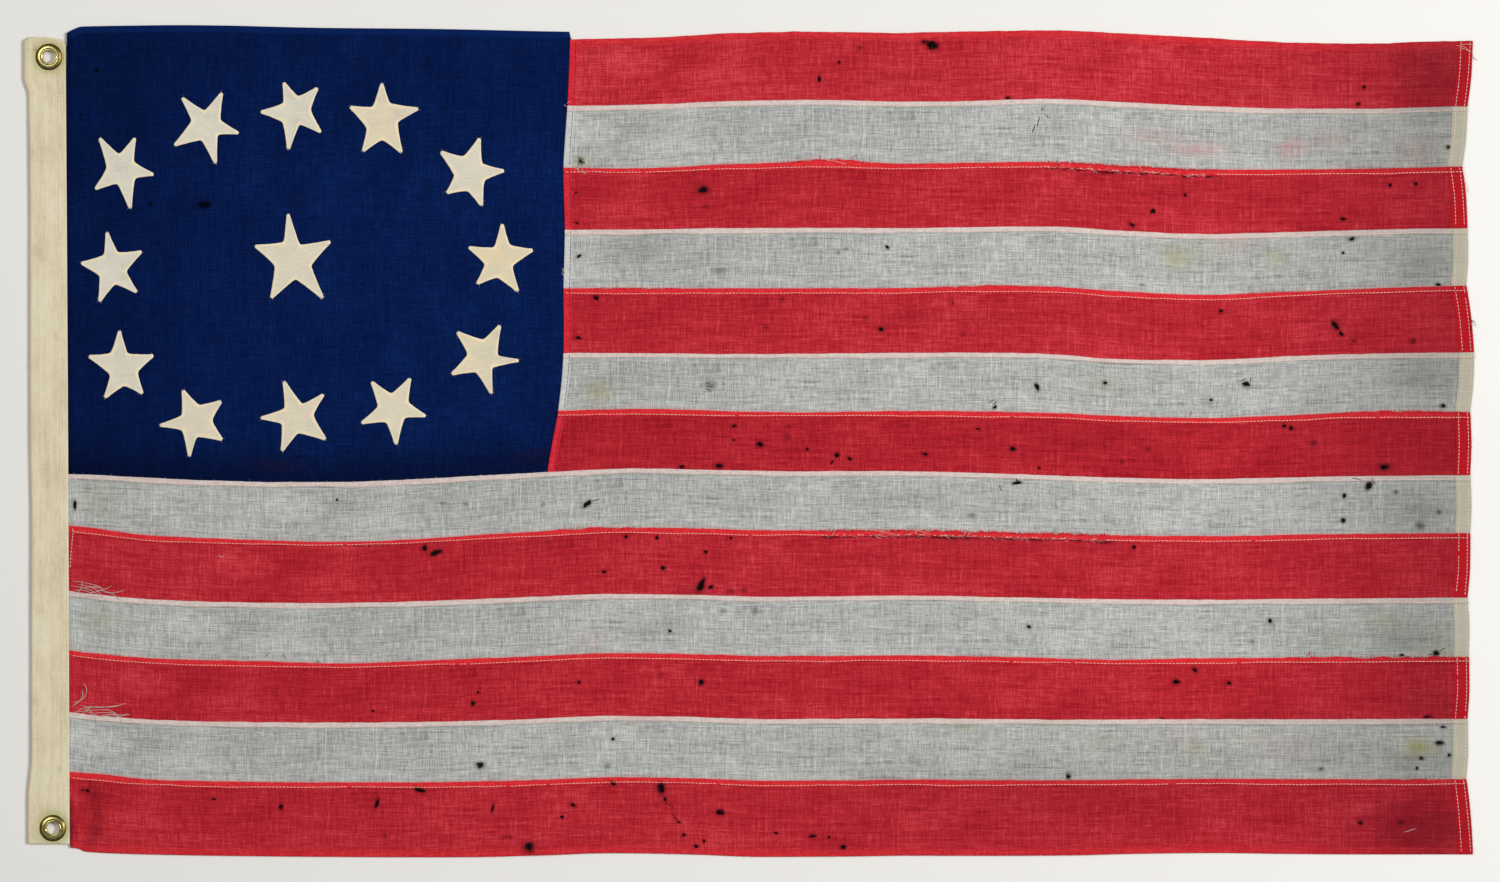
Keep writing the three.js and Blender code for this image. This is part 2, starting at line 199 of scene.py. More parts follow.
# Soft creases: two ends in photo pixels, height and half width in millimetres
creases = [
    ((212, 228), (240, 241), 0.5, 2.0),
    ((240, 222), (282, 236), 0.6, 2.4),
    ((80, 231), (150, 230), 0.35, 1.6),
    ((80, 455), (147, 456), 0.35, 1.6),
    ((80, 746), (122, 747), 0.5, 1.4),
    ((74, 364), (92, 362), 0.3, 1.6),
    ((98, 782), (110, 830), 0.45, 2.5),
]

# Where a seam has come apart, and where a band's edge has only frayed: stripe number, then start and end
# in photo pixels
tornSeams = [(3, 1043, 1215), (9, 820, 1110)]
frayedSeams = [
    (11, 1285, 1455), (3, 793, 868), (5, 600, 680), (5, 925, 1010), (7, 1330, 1440), (9, 560, 640),
    (13, 1385, 1440),
]

tornEnd = 6        # a tear starts and ends over this much of the seam, each way
creaseFade = 0.7   # how much of its height a crease loses towards its ends


def tornAmount(stripe, x, places=tornSeams):  # 0 to 1 along a stripe's top edge
    amount = np.zeros_like(np.asarray(x, float))
    for number, start, end in places:
        if number == stripe + 1:
            low, high = spot(start, 0)[0], spot(end, 0)[0]
            opening = step(low - tornEnd, low + tornEnd, x)
            amount = np.maximum(amount, opening * (1 - step(high - tornEnd, high + tornEnd, x)))
    return amount


def creaseHeight(x, y):
    height = np.zeros_like(np.asarray(x, float))
    for start, end, high, wide in creases:
        a, b = np.array(spot(*start)), np.array(spot(*end))
        run = b - a
        t = np.clip(((x - a[0]) * run[0] + (y - a[1]) * run[1]) / (run @ run), 0, 1)
        away = np.hypot(x - a[0] - t * run[0], y - a[1] - t * run[1])
        height += high * np.exp(-(away / wide) ** 2) * (1 - creaseFade * abs(2 * t - 1))
    return height


def lie(x, y):  # one height for every layer of cloth at a place, so that layers never cross
    fromHeading = x - headingInner(y)
    wide = swell["high"] * (0.5 + 0.5 * softNoise(x, y * swell["stretch"], *grain["swell"]))
    small = ripple["high"] * (0.5 + 0.5 * softNoise(x, y, *grain["ripple"]))
    near = np.min([abs(y - seam(x)) for seam in seams], axis=0)
    drawn = 0.5 + 0.5 * softNoise(x, y * pucker["stretch"], *grain["pucker"])
    seamed = pucker["high"] * drawn * np.exp(-(near / pucker["reach"]) ** 2)
    creased = creaseHeight(x, y) * step(*fromHoist["creases"], fromHeading)
    return step(*fromHoist["swells"], fromHeading) * (wide + small + seamed) + creased


def stripeColour(stripe):  # counted from 0 at the top
    return "white" if stripe % 2 else "red"


bandWidth = {"mean": 1.04, "long": 0.13, "short": 0.05, "bumps": 0.17}  # shares of its drawn width


def bandStretch(stripe, x):  # how a band's width strays along its seam
    share = cloth["whiteBand"] if stripeColour(stripe) == "white" else 1
    wide = bandWidth["mean"] + bandWidth["long"] * alongStripe(stripe, x, "bandLong")
    wide = wide + bandWidth["short"] * alongStripe(stripe, x, "bandShort")
    return (wide + bandWidth["bumps"] * bumpRise(stripe, x)) * share


def foldRoll(inside):  # a folded edge turns down over its last bit
    return cloth["rollDeep"] * np.clip(1 - inside / cloth["rollWide"], 0, 1) ** 2


def bandLift(inside, wide):
    start, end = cloth["bandSlope"]
    return cloth["bandRise"] * (1 - step(wide + start, wide + end, inside)) - foldRoll(inside)


def hemLift(inside, wide):
    start, end = cloth["hemSlope"]
    return cloth["hemRise"] * (1 - step(wide + start, wide + end, inside)) - foldRoll(inside)


def stripeTop(stripe, x, y):  # the height of a stripe's upper face
    below = (seams[stripe](x) - y) / bandStretch(stripe, x)
    fromHeading = x - headingInner(y)
    if stripe == 0:
        lift = hemLift(below, cloth["edgeHem"])
    else:
        lift = bandLift(below, cloth["band"])
        loose = tornBand["high"] * softNoise(x, y, *grain["tornBand"]) * (1 - step(*tornBand["reach"], below))
        lift = lift + tornAmount(stripe, x) * loose
    if stripe < shortStripes:
        lift = lift + bandLift(x - leftEdges[stripe](y), cloth["sideBand"])
    else:
        lift = lift * step(*fromHoist["bands"], fromHeading)
        lift = lift + cloth["headingRise"] * (1 - step(*fromHoist["climb"], fromHeading))
    if stripe == shortStripes:  # its band also climbs over the canton's corner
        corner = leftEdges[stripe - 1](seams[stripe](x))
        over = step(*cornerClimb["start"], x - corner) * (1 - step(*cornerClimb["end"], x - corner))
        lift = lift + cloth["bandRise"] * over * (1 - step(*cornerClimb["down"], below))
    if stripe == stripeCount - 1:
        lift = lift + hemLift(y - seams[-1](x), cloth["edgeHem"]) * step(*fromHoist["hem"], fromHeading)
    lift = lift + hemLift(rightEdges[stripe](y) - x, cloth["flyHem"])
    return cloth["fieldTop"] + lift + lie(x, y)


def cantonHeight(x, y):
    hem = hemLift(cantonTop(x) - y, cloth["edgeHem"]) * (x < cantonTail(y) - 4)
    rise = cloth["headingRise"] * (1 - step(*fromHoist["climb"], x - headingInner(y)))
    return cloth["fieldTop"] + hem + rise + lie(x, y)


def clothTop(x, y):  # the upper face of whatever cloth lies on top at a place
    x, y = np.asarray(x, float), np.asarray(y, float)
    top = cantonHeight(x, y)
    for stripe in range(stripeCount):
        inside = (y <= seams[stripe](x)) & (y > seams[stripe + 1](x))
        if stripe < shortStripes:
            inside = inside & (x > leftEdges[stripe](y))
        top = np.where(inside, stripeTop(stripe, x, y), top)
    return top


# Meshes from arrays

def meshPiece(name, places, faceGroups, uv=None, masks=None):
    mesh = bpy.data.meshes.new(name)
    corners = np.concatenate([np.asarray(group).ravel() for group in faceGroups])
    sizes = np.concatenate([np.full(len(group), np.shape(group)[1]) for group in faceGroups])
    mesh.vertices.add(len(places))
    mesh.vertices.foreach_set("co", (np.asarray(places) * metre).astype(np.float32).ravel())
    mesh.loops.add(len(corners))
    mesh.loops.foreach_set("vertex_index", corners.astype(np.int32))
    mesh.polygons.add(len(sizes))
    mesh.polygons.foreach_set("loop_start", (np.cumsum(sizes) - sizes).astype(np.int32))
    mesh.polygons.foreach_set("use_smooth", np.ones(len(sizes), bool))
    mesh.update(calc_edges=True)
    if uv is not None:
        layer = mesh.uv_layers.new(name="weave")
        layer.data.foreach_set("uv", (np.asarray(uv)[corners] * metre).astype(np.float32).ravel())
    for mask, values in (masks or {}).items():
        attribute = mesh.attributes.new(mask, "FLOAT", "POINT")
        attribute.data.foreach_set("value", np.asarray(values, np.float32).ravel())
    made = bpy.data.objects.new(name, mesh)
    bpy.context.scene.collection.objects.link(made)
    return made


def closedSheet(name, x, y, top, under, uv, masks):  # rows run down the flag, columns to the right
    rows, columns = x.shape
    count = rows * columns
    faces = [np.stack([x, y, height], -1).reshape(-1, 3) for height in (top, under)]
    index = np.arange(count).reshape(rows, columns)
    upper = np.stack([index[:-1, :-1], index[1:, :-1], index[1:, 1:], index[:-1, 1:]], -1).reshape(-1, 4)
    ring = np.concatenate([index[0, :-1], index[:-1, -1], index[-1, :0:-1], index[:0:-1, 0]])
    following = np.roll(ring, -1)
    rim = np.stack([ring, following, following + count, ring + count], -1)
    both = {mask: np.tile(np.asarray(values, float).ravel(), 2) for mask, values in masks.items()}
    flatUv = np.tile(np.stack(uv, -1).reshape(-1, 2), (2, 1))
    return meshPiece(name, np.concatenate(faces), [upper, upper[:, ::-1] + count, rim], flatUv, both)


# Wear and painted shade, kept as soft masks on the cloth

flyGrimeAndShade = {"most": 0.46, "reach": (330, 548), "blots": 0.45}  # the fly end is darker: partly grime, partly painted shade where the light falls off
# Where the colour of each band and hem ends: past the band's width, or in from the edge
bandEdge = {
    "red": (-0.2, 0.5), "white": (-0.7, 0.5), "side": (5.0, 5.8), "hem": (4.8, 5.5), "fly": (11.3, 12.0),
}
bandStrength = {"topHem": 0.6, "bottomHem": 0.6, "cantonHem": 0.9}
flyHemLessDark = {"red": 0.12, "white": 0.3}  # the doubled hem at the fly end is darkened less than the cloth beside it
# A seam that has come apart gets a dark line under its lifted band: painted shade in the gap
tornGapShade = {"down": 5.3, "half": 0.9, "dark": 1.2, "broken": (-0.2, 0.6)}
seamBleed = {"white": (0.5, 1.5), "canton": (0.5, 12, 5), "broken": (0, 0.7)}  # strength, then where
cantonShade = {"hoist": (0.5, 2.5), "foot": (0.65, 22)}  # strength, then reach in from the edge
cantonTone = {"hoist": (0.5, 90), "top": (0.2, 180, 300)}
stripeTones = [-0.1, 0.06, 0.12, 0.06, 0.08, 0.06, 0.4, 0.04, 0.1, 0.04, 0.15, 0.03, 0.1]

# Stains and darker patches: place, half width and half height in photo pixels, then strength. Soil and bleed
# are stains; the shade patches are partly grime and partly painted shade, towards the fly end and along the
# folds at the hoist end
blots = {
    "soil": [
        (1418, 747, 13, 8, 1.1), (598, 392, 12, 10, 0.55), (1175, 258, 12, 10, 0.4),
        (1275, 258, 11, 9, 0.4), (1190, 252, 30, 10, 0.2), (703, 190, 7, 7, 0.5), (530, 846, 9, 6, 0.6),
        (581, 161, 7, 5, 0.5), (1105, 383, 14, 8, 0.25), (100, 620, 16, 14, 0.25), (1386, 468, 10, 6, 0.4),
        (690, 590, 16, 6, 0.3), (100, 500, 14, 20, 0.2), (1437, 650, 16, 20, 0.25), (1340, 640, 12, 8, 0.2),
        (660, 790, 7, 7, 0.3), (964, 728, 12, 5, 0.35), (1195, 750, 14, 8, 0.3), (1100, 741, 10, 8, 0.25),
        (1250, 738, 12, 7, 0.2), (1387, 621, 18, 8, 0.3), (1060, 725, 14, 6, 0.2),
    ],
    "bleed": [
        (1200, 150, 22, 7, 0.7), (1290, 148, 14, 8, 0.6), (1150, 136, 30, 8, 0.3), (1330, 140, 20, 10, 0.3),
        (1235, 243, 20, 8, 0.3), (640, 716, 16, 6, 0.4), (590, 640, 14, 8, 0.3), (540, 540, 10, 5, 0.3),
        (960, 540, 20, 6, 0.5), (1040, 545, 20, 5, 0.5), (1420, 150, 20, 14, 0.3), (1110, 545, 16, 6, 0.4),
        (1290, 750, 30, 12, 0.2), (1180, 735, 24, 10, 0.15),
    ],
    "shade": [
        (1100, 792, 250, 55, 0.6), (1330, 748, 80, 18, 0.2), (1436, 148, 30, 20, 0.25),
        (1415, 830, 44, 30, 0.85), (90, 787, 6, 6, 0.7), (96, 800, 5, 9, 1.1), (98, 816, 5, 9, 1.2),
        (96, 831, 5, 8, 1.1), (90, 843, 7, 6, 0.8), (74, 830, 3, 12, 1.0), (1430, 80, 36, 34, 0.7),
        (1430, 700, 34, 22, 0.4), (1400, 640, 40, 20, 0.5), (1420, 376, 40, 22, 0.5),
        (1420, 508, 34, 20, 0.45), (640, 250, 40, 14, 0.45), (700, 495, 60, 16, 0.3),
        (900, 500, 90, 14, 0.3), (1420, 262, 30, 20, 0.4), (640, 380, 40, 16, 0.3), (1335, 325, 9, 6, 0.7),
        (905, 315, 26, 7, 0.4), (1250, 720, 60, 8, 0.4), (1400, 760, 40, 14, 0.35), (720, 430, 20, 8, 0.4),
        (96, 804, 8, 5, -0.3), (660, 630, 50, 10, 0.3), (1140, 560, 60, 10, 0.25), (980, 320, 40, 8, 0.3),
        (1180, 190, 30, 8, 0.35), (1240, 90, 60, 10, 0.25), (900, 80, 60, 10, 0.25),
        (1100, 440, 50, 8, 0.3), (190, 205, 14, 10, 0.4), (255, 220, 20, 12, 0.3), (86, 590, 16, 8, 0.3),
    ],
}


def blotMask(kind, x, y):
    total = np.zeros_like(x)
    uneven = 1 + 0.35 * softNoise(x, y, *grain["blotEdge"]) + 0.2 * softNoise(x, y, *grain["blotFleck"])
    for px, py, wide, high, strength in blots[kind]:
        cx, cy = spot(px, py)
        reachX, reachY = wide * photo["mmPerPixel"], high * photo["mmPerPixel"]
        away = ((x - cx) / reachX) ** 2 + ((y - cy) / reachY) ** 2
        total += strength * np.exp(-away * uneven)
    return total


def wearAndShadeMasks(x, y):  # the wear, and the painted shade, that cross every piece of cloth
    return {
        "soil": blotMask("soil", x, y),
        "bleed": blotMask("bleed", x, y),
        "shade": flyGrimeAndShade["most"] * step(*flyGrimeAndShade["reach"], x)
                 + flyGrimeAndShade["blots"] * blotMask("shade", x, y),
    }


def stripeMasks(stripe, x, y):
    colour = stripeColour(stripe)
    below = (seams[stripe](x) - y) / bandStretch(stripe, x)
    wide = cloth["edgeHem"] if stripe == 0 else cloth["band"]
    strayed = 0.25 * alongStripe(stripe, x, "bandLine")
    start, end = bandEdge[colour]
    band = 1 - step(wide + start, wide + end, below + strayed)
    side = np.zeros_like(x)
    if stripe == 0:
        band = bandStrength["topHem"] * band
    if stripe < shortStripes:
        side = 1 - step(*bandEdge["side"], x - leftEdges[stripe](y))
    if stripe == stripeCount - 1:
        hem = 1 - step(*bandEdge["hem"], y - seams[-1](x))
        band = np.maximum(band, bandStrength["bottomHem"] * hem)
    masks = wearAndShadeMasks(x, y)
    # painted shade along the gap where a seam has come apart
    torn = tornAmount(stripe, x) * np.exp(-((below - tornGapShade["down"]) / tornGapShade["half"]) ** 2)
    broken = step(*tornGapShade["broken"], softNoise(x, 0, *grain["gap"]))
    masks["shade"] = masks["shade"] + tornGapShade["dark"] * torn * broken
    if colour == "white":
        strength, half = seamBleed["white"]
        masks["bleed"] = masks["bleed"] + strength * np.exp(-((y - seams[stripe + 1](x)) / half) ** 2)
    hem = 1 - step(*bandEdge["fly"], rightEdges[stripe](y) - x)
    masks["shade"] = masks["shade"] * (1 - flyHemLessDark[colour] * hem)
    tone = np.full_like(x, stripeTones[stripe])
    return {**masks, "band": band, "side": side, "hem": hem, "tone": tone}


def cantonMasks(x, y):
    fromHeading, fromSeam = x - headingInner(y), y - seams[shortStripes](x)
    masks = wearAndShadeMasks(x, y)
    for away, (strength, reach) in ((fromHeading, cantonShade["hoist"]), (fromSeam, cantonShade["foot"])):
        masks["shade"] = masks["shade"] + strength * np.exp(-(away / reach) ** 2)
    strength, middle, half = seamBleed["canton"]
    nearSeam = np.exp(-((fromSeam - middle) / half) ** 2)
    broken = step(*seamBleed["broken"], softNoise(x, y, *grain["seamBleed"]))
    masks["bleed"] = masks["bleed"] + strength * nearSeam * broken
    masks["hem"] = bandStrength["cantonHem"] * (1 - step(*bandEdge["hem"], cantonTop(x) - y))
    strength, reach = cantonTone["hoist"]
    masks["tone"] = strength * np.exp(-(fromHeading / reach) ** 2)
    strength, low, high = cantonTone["top"]
    masks["tone"] = masks["tone"] + strength * step(low, high, y)
    return masks


mapShift = 37  # so that no two stripes show the same threads


def stripeMap(stripe, x, y):  # where a place lies on a stripe's own threads
    return x + stripe * mapShift, y - seams[stripe](x)


# Materials

def dye(red, green, blue):  # a colour as it shows, from 0 to 255, made linear
    def linear(value):
        value = value / 255
        return value / 12.92 if value <= 0.04045 else ((value + 0.055) / 1.055) ** 2.4

    return (linear(red), linear(green), linear(blue), 1)


class Value:  # a number that changes over the surface, for shader maths written as Python
    def __init__(self, finish, socket):
        self.finish, self.socket = finish, socket

    def maths(self, operation, first, second):
        return self.finish.node("ShaderNodeMath", {"operation": operation}, {0: first, 1: second})

    def __add__(self, other):
        return self.maths("ADD", self, other)

    def __radd__(self, other):
        return self.maths("ADD", other, self)

    def __sub__(self, other):
        return self.maths("SUBTRACT", self, other)

    def __rsub__(self, other):
        return self.maths("SUBTRACT", other, self)

    def __mul__(self, other):
        return self.maths("MULTIPLY", self, other)

    def __rmul__(self, other):
        return self.maths("MULTIPLY", other, self)


class Finish:  # one material and the nodes that make it
    def __init__(self, name, **constants):
        self.material = bpy.data.materials.new(name)
        self.material.use_nodes = True
        self.tree = self.material.node_tree
        self.shader = self.tree.nodes["Principled BSDF"]
        for socket, value in constants.items():
            self.shader.inputs[socket.replace("_", " ")].default_value = value

    def feed(self, socket, value):
        if isinstance(value, Value):
            self.tree.links.new(value.socket, socket)
        else:
            socket.default_value = value

    def node(self, kind, settings=None, inputs=None, output=0):
        made = self.tree.nodes.new(kind)
        for name, value in (settings or {}).items():
            if name == "stops":
                for place, stop in enumerate(value):
                    element = made.color_ramp.elements
                    point = element[place] if place < 2 else element.new(stop[0])
                    point.position, point.color = stop
            else:
                setattr(made, name, value)
        for name, value in (inputs or {}).items():
            self.feed(made.inputs[name], value)
        return Value(self, made.outputs[output])

    def weave(self):  # the piece's own map, in millimetres along and across its threads
        place = self.node("ShaderNodeUVMap", {"uv_map": "weave"})
        return self.stretch(place, (1 / metre, 1 / metre, 1))

    def objectPlace(self):
        place = self.node("ShaderNodeTexCoord", output=3)
        return self.stretch(place, (1 / metre, 1 / metre, 1 / metre))

    def stretch(self, place, scale):
        return self.node("ShaderNodeVectorMath", {"operation": "MULTIPLY"}, {0: place, 1: scale})

    def noise(self, place, size, detail=2.0, rough=0.5, seed=0.0):
        scale = tuple(1 / value for value in size)
        moved = self.node("ShaderNodeVectorMath", {"operation": "MULTIPLY_ADD"},
                          {0: place, 1: scale, 2: (seed, seed * 1.7, seed * 0.6)})
        inputs = {"Vector": moved, "Scale": 1.0, "Detail": detail, "Roughness": rough}
        return self.node("ShaderNodeTexNoise", {}, inputs)

    def mask(self, name):
        return self.node("ShaderNodeAttribute", {"attribute_name": name}, output=2)

    def clamp(self, value, low=0.0, high=1.0):
        settings = {"clamp": True}
        inputs = {"Value": value, "From Min": low, "From Max": high, "To Min": 0.0, "To Max": 1.0}
        return self.node("ShaderNodeMapRange", settings, inputs)

    def ramp(self, factor, stops):
        return self.node("ShaderNodeValToRGB", {"stops": stops}, {0: factor})

    def blend(self, factor, under, over):
        return self.node("ShaderNodeMix", {"data_type": "RGBA"}, {0: factor, 6: under, 7: over}, output=2)

    def finishOff(self, color, rough, height, deep, strength=1.0):
        self.feed(self.shader.inputs["Base Color"], color)
        self.feed(self.shader.inputs["Roughness"], rough)
        bump = self.node("ShaderNodeBump", {}, {"Height": height, "Distance": deep, "Strength": strength})
        self.tree.links.new(bump.socket, self.shader.inputs["Normal"])
        return self.material


def buntingFinish(name, dyes):  # thin open wool cloth, plain woven from uneven yarn
    finish = Finish(name, Specular_IOR_Level=0.04)
    place = finish.weave()
    weft = finish.noise(place, (14, 0.8, 1), 2.5, 0.6)
    warp = finish.noise(place, (0.8, 11, 1), 2.5, 0.6, seed=5.0)
    slubs = finish.noise(place, (42, 2.2, 1), 2.0, 0.5, seed=11.0)
    ribs = finish.noise(place, (1.9, 46, 1), 2.0, 0.5, seed=37.0)
    thin = finish.noise(place, (60, 1.0, 1), 1.0, 0.5, seed=17.0)
    bright = finish.noise(place, (0.9, 70, 1), 1.0, 0.5, seed=41.0)
    lumps = finish.noise(place, (2.4, 2.0, 1), 2.0, 0.6, seed=29.0)
    patches = finish.noise(place, (46, 30, 1), 3.0, 0.55, seed=23.0)
    cover = (weft - 0.5) * dyes["threads"] + (warp - 0.5) * dyes["threads"]
    cover = cover + (slubs - 0.5) * dyes["slubs"] + (ribs - 0.5) * dyes["slubs"] * 0.8
    cover = cover + (lumps - 0.5) * dyes["lumps"] + (patches - 0.5) * dyes["patches"]
    cover = cover - finish.clamp(thin, 0.6, 0.72) * dyes["streaks"]
    cover = cover + finish.clamp(bright, 0.62, 0.74) * dyes["streaks"] - finish.mask("tone") * dyes["tone"]
    color = finish.ramp(cover + 0.5, [(0.0, dyes["deep"]), (1.0, dyes["lit"]), (0.5, dyes["body"])])
    mottled = finish.clamp(lumps + (weft - 0.5) * 0.6, 0.35, 0.7)
    bandColor = finish.blend(mottled, dyes["bandLow"], dyes["bandHigh"])
    sideColor = finish.blend(mottled, dyes["sideLow"], dyes["sideHigh"])
    color = finish.blend(finish.mask("side"), color, sideColor)
    color = finish.blend(finish.mask("band") * dyes["bandCover"], color, bandColor)
    color = finish.blend(finish.mask("hem") * dyes["hemCover"], color, dyes["hem"])
    color = finish.blend(finish.clamp(finish.mask("bleed") * (mottled + 0.4)), color, dyes["bleed"])
    color = finish.blend(finish.clamp(finish.mask("soil") * (mottled * 0.5 + 0.6)), color, dyes["soil"])
    dim = finish.mask("shade") * (0.75 + patches * 0.3 + (thin - 0.5) * 0.5)
    color = finish.blend(finish.clamp(dim), color, dyes["dim"])
    # The worn mask marks the moth holes, whose near-black is painted shade in place of an open hole
    broken = finish.mask("worn") * ((weft - 0.5) * 1.8 + (warp - 0.5) * 1.8 + (lumps - 0.5) * 1.2 + 1)
    color = finish.blend(finish.clamp(broken, 0.42, 0.62), color, dyes["hole"])
    height = weft * 0.5 + warp * 0.5 + slubs * 0.5 + lumps * 0.3
    return finish.finishOff(color, 0.82 + (lumps - 0.5) * 0.2, height, 0.00035, 0.8)


redDyes = {
    "deep": dye(140, 16, 30), "body": dye(180, 38, 48), "lit": dye(218, 74, 84),
    "bandLow": dye(202, 36, 44), "bandHigh": dye(227, 54, 60), "bandCover": 0.9,
    "sideLow": dye(196, 34, 48), "sideHigh": dye(218, 52, 64),
    "hem": dye(198, 24, 32), "hemCover": 0.85, "bleed": dye(150, 30, 44), "soil": dye(70, 20, 20),
    "threads": 1.0, "slubs": 0.55, "lumps": 0.4, "patches": 0.6, "streaks": 0.14, "tone": 0.4,
    "dim": dye(92, 12, 26), "hole": dye(14, 6, 8),
}
whiteDyes = {
    "deep": dye(116, 120, 118), "body": dye(172, 173, 169), "lit": dye(214, 214, 206),
    "bandLow": dye(208, 184, 178), "bandHigh": dye(222, 210, 202), "bandCover": 0.82,
    "sideLow": dye(184, 186, 186), "sideHigh": dye(208, 208, 204),
    "hem": dye(196, 190, 168), "hemCover": 0.85, "bleed": dye(190, 138, 140), "soil": dye(150, 148, 76),
    "threads": 1.1, "slubs": 0.45, "lumps": 0.45, "patches": 0.45, "streaks": 0.2, "tone": 0.4,
    "dim": dye(84, 82, 76), "hole": dye(12, 12, 12),
}
blueDyes = {
    "deep": dye(0, 10, 46), "body": dye(3, 24, 72), "lit": dye(14, 44, 104),
    "bandLow": dye(6, 36, 90), "bandHigh": dye(12, 44, 104), "bandCover": 0.7,
    "sideLow": dye(6, 36, 96), "sideHigh": dye(14, 48, 112),
    "hem": dye(8, 36, 92), "hemCover": 0.6, "bleed": dye(34, 16, 48), "soil": dye(10, 12, 30),
    "threads": 0.9, "slubs": 0.3, "lumps": 0.3, "patches": 0.4, "streaks": 0.1, "tone": 0.4,
    "dim": dye(0, 3, 24), "hole": dye(0, 2, 12),
}
bunting = {
    "red": buntingFinish("redBunting", redDyes),
    "white": buntingFinish("whiteBunting", whiteDyes),
    "blue": buntingFinish("blueBunting", blueDyes),
}


def starFinish():  # bleached cotton, gone cream, greyer in the middle where the blue shows through
    finish = Finish("starCotton", Specular_IOR_Level=0.1)
    place = finish.objectPlace()
    fine = finish.noise(place, (0.9, 0.9, 4), 2.0, 0.6)
    wide = finish.noise(place, (14, 14, 8), 3.0, 0.6, seed=7.0)
    weft = finish.noise(place, (9, 0.8, 4), 1.0, 0.5, seed=3.0)
    grey = finish.clamp(wide + (fine - 0.5) * 0.3, 0.42, 0.72) * (1 - finish.mask("rim"))
    fresh = finish.blend(finish.mask("age"), dye(213, 209, 195), dye(221, 203, 165))
    color = finish.blend(grey * 0.7, fresh, dye(202, 198, 184))
    color = finish.blend(finish.clamp(fine + (weft - 0.5) * 0.8, 0.5, 0.75) * 0.35, color, dye(240, 234, 216))
    color = finish.blend(finish.mask("rim") * 0.75, color, dye(240, 222, 186))
    color = finish.blend(finish.clamp(wide - (fine - 0.5) * 0.6, 0.6, 0.8) * 0.35, color, dye(196, 176, 136))
    color = finish.blend(finish.mask("fray"), color, dye(150, 156, 170))
    return finish.finishOff(color, 0.85 + (fine - 0.5) * 0.1, fine * 0.5 + weft * 0.5, 0.0003, 0.7)


def canvasFinish():  # heavy cotton tape with old rings round the brass and handling marks
    finish = Finish("headingCanvas", Specular_IOR_Level=0.1)
    place = finish.weave()
    twillA = finish.noise(place, (7, 0.9, 1), 2.0, 0.5)
    twillB = finish.noise(place, (0.9, 9, 1), 2.0, 0.5, seed=4.0)
    bars = finish.noise(place, (3.2, 160, 1), 2.0, 0.5, seed=9.0)
    wide = finish.noise(place, (18, 40, 1), 3.0, 0.6, seed=13.0)
    marks = finish.noise(place, (4, 5, 1), 2.0, 0.6, seed=19.0)
    tone = 0.5 + (twillA - 0.5) * 0.4 + (twillB - 0.5) * 0.5 + (bars - 0.5) * 0.55 + (wide - 0.5) * 0.9
    stops = [(0.0, dye(186, 172, 138)), (1.0, dye(236, 228, 206)), (0.5, dye(219, 208, 176))]
    color = finish.ramp(tone, stops)
    color = finish.blend(finish.clamp(marks, 0.66, 0.8) * 0.3, color, dye(172, 164, 138))
    color = finish.blend(finish.mask("edgeStain") * 0.5, color, dye(214, 176, 146))
    color = finish.blend(finish.mask("halo") * (0.5 + wide * 0.7), color, dye(176, 172, 110))
    color = finish.blend(finish.mask("soil"), color, dye(150, 138, 112))
    return finish.finishOff(color, 0.88, twillA * 0.5 + twillB * 0.5, 0.0004, 0.8)


def brassFinish():  # worn bright on its crown, olive and brown in its low places
    finish = Finish("agedBrass", Metallic=1.0)
    place = finish.objectPlace()
    wide = finish.noise(place, (4, 4, 3), 3.0, 0.6)
    fine = finish.noise(place, (0.7, 0.7, 0.7), 3.0, 0.6, seed=6.0)
    low = finish.mask("low")
    dull = finish.clamp(low + (wide - 0.5) * 1.5, 0.15, 0.95)
    color = finish.blend(dull, dye(196, 180, 118), dye(96, 84, 32))
    color = finish.blend(finish.clamp(fine, 0.58, 0.74) * (0.3 + dull * 0.5), color, dye(64, 52, 24))
    rough = 0.2 + dull * 0.22 + (fine - 0.5) * 0.15
    return finish.finishOff(color, rough, wide * 0.6 + fine * 0.4, 0.00025, 0.35)


def threadFinish(name, light, dark, rough=0.8):  # twisted sewing thread or loose yarn
    finish = Finish(name, Specular_IOR_Level=0.2)
    place = finish.objectPlace()
    twist = finish.noise(place, (0.8, 0.8, 0.8), 2.0, 0.6)
    wide = finish.noise(place, (30, 30, 30), 2.0, 0.6, seed=2.0)
    color = finish.blend(finish.clamp(twist * 0.6 + wide * 0.4, 0.35, 0.65), dark, light)
    return finish.finishOff(color, rough + (twist - 0.5) * 0.1, twist, 0.0001, 0.6)


starCotton = starFinish()
headingCanvas = canvasFinish()
agedBrass = brassFinish()
paleThread = threadFinish("paleThread", dye(246, 226, 208), dye(232, 186, 172))
darkThread = threadFinish("darkThread", dye(30, 36, 52), dye(10, 12, 26))
redThread = threadFinish("redThread", dye(214, 60, 66), dye(150, 26, 38))
holeAndGapShadeYarn = threadFinish("holeAndGapShadeYarn", dye(38, 24, 24), dye(14, 8, 10))
print("materials made")

# Stripes and canton

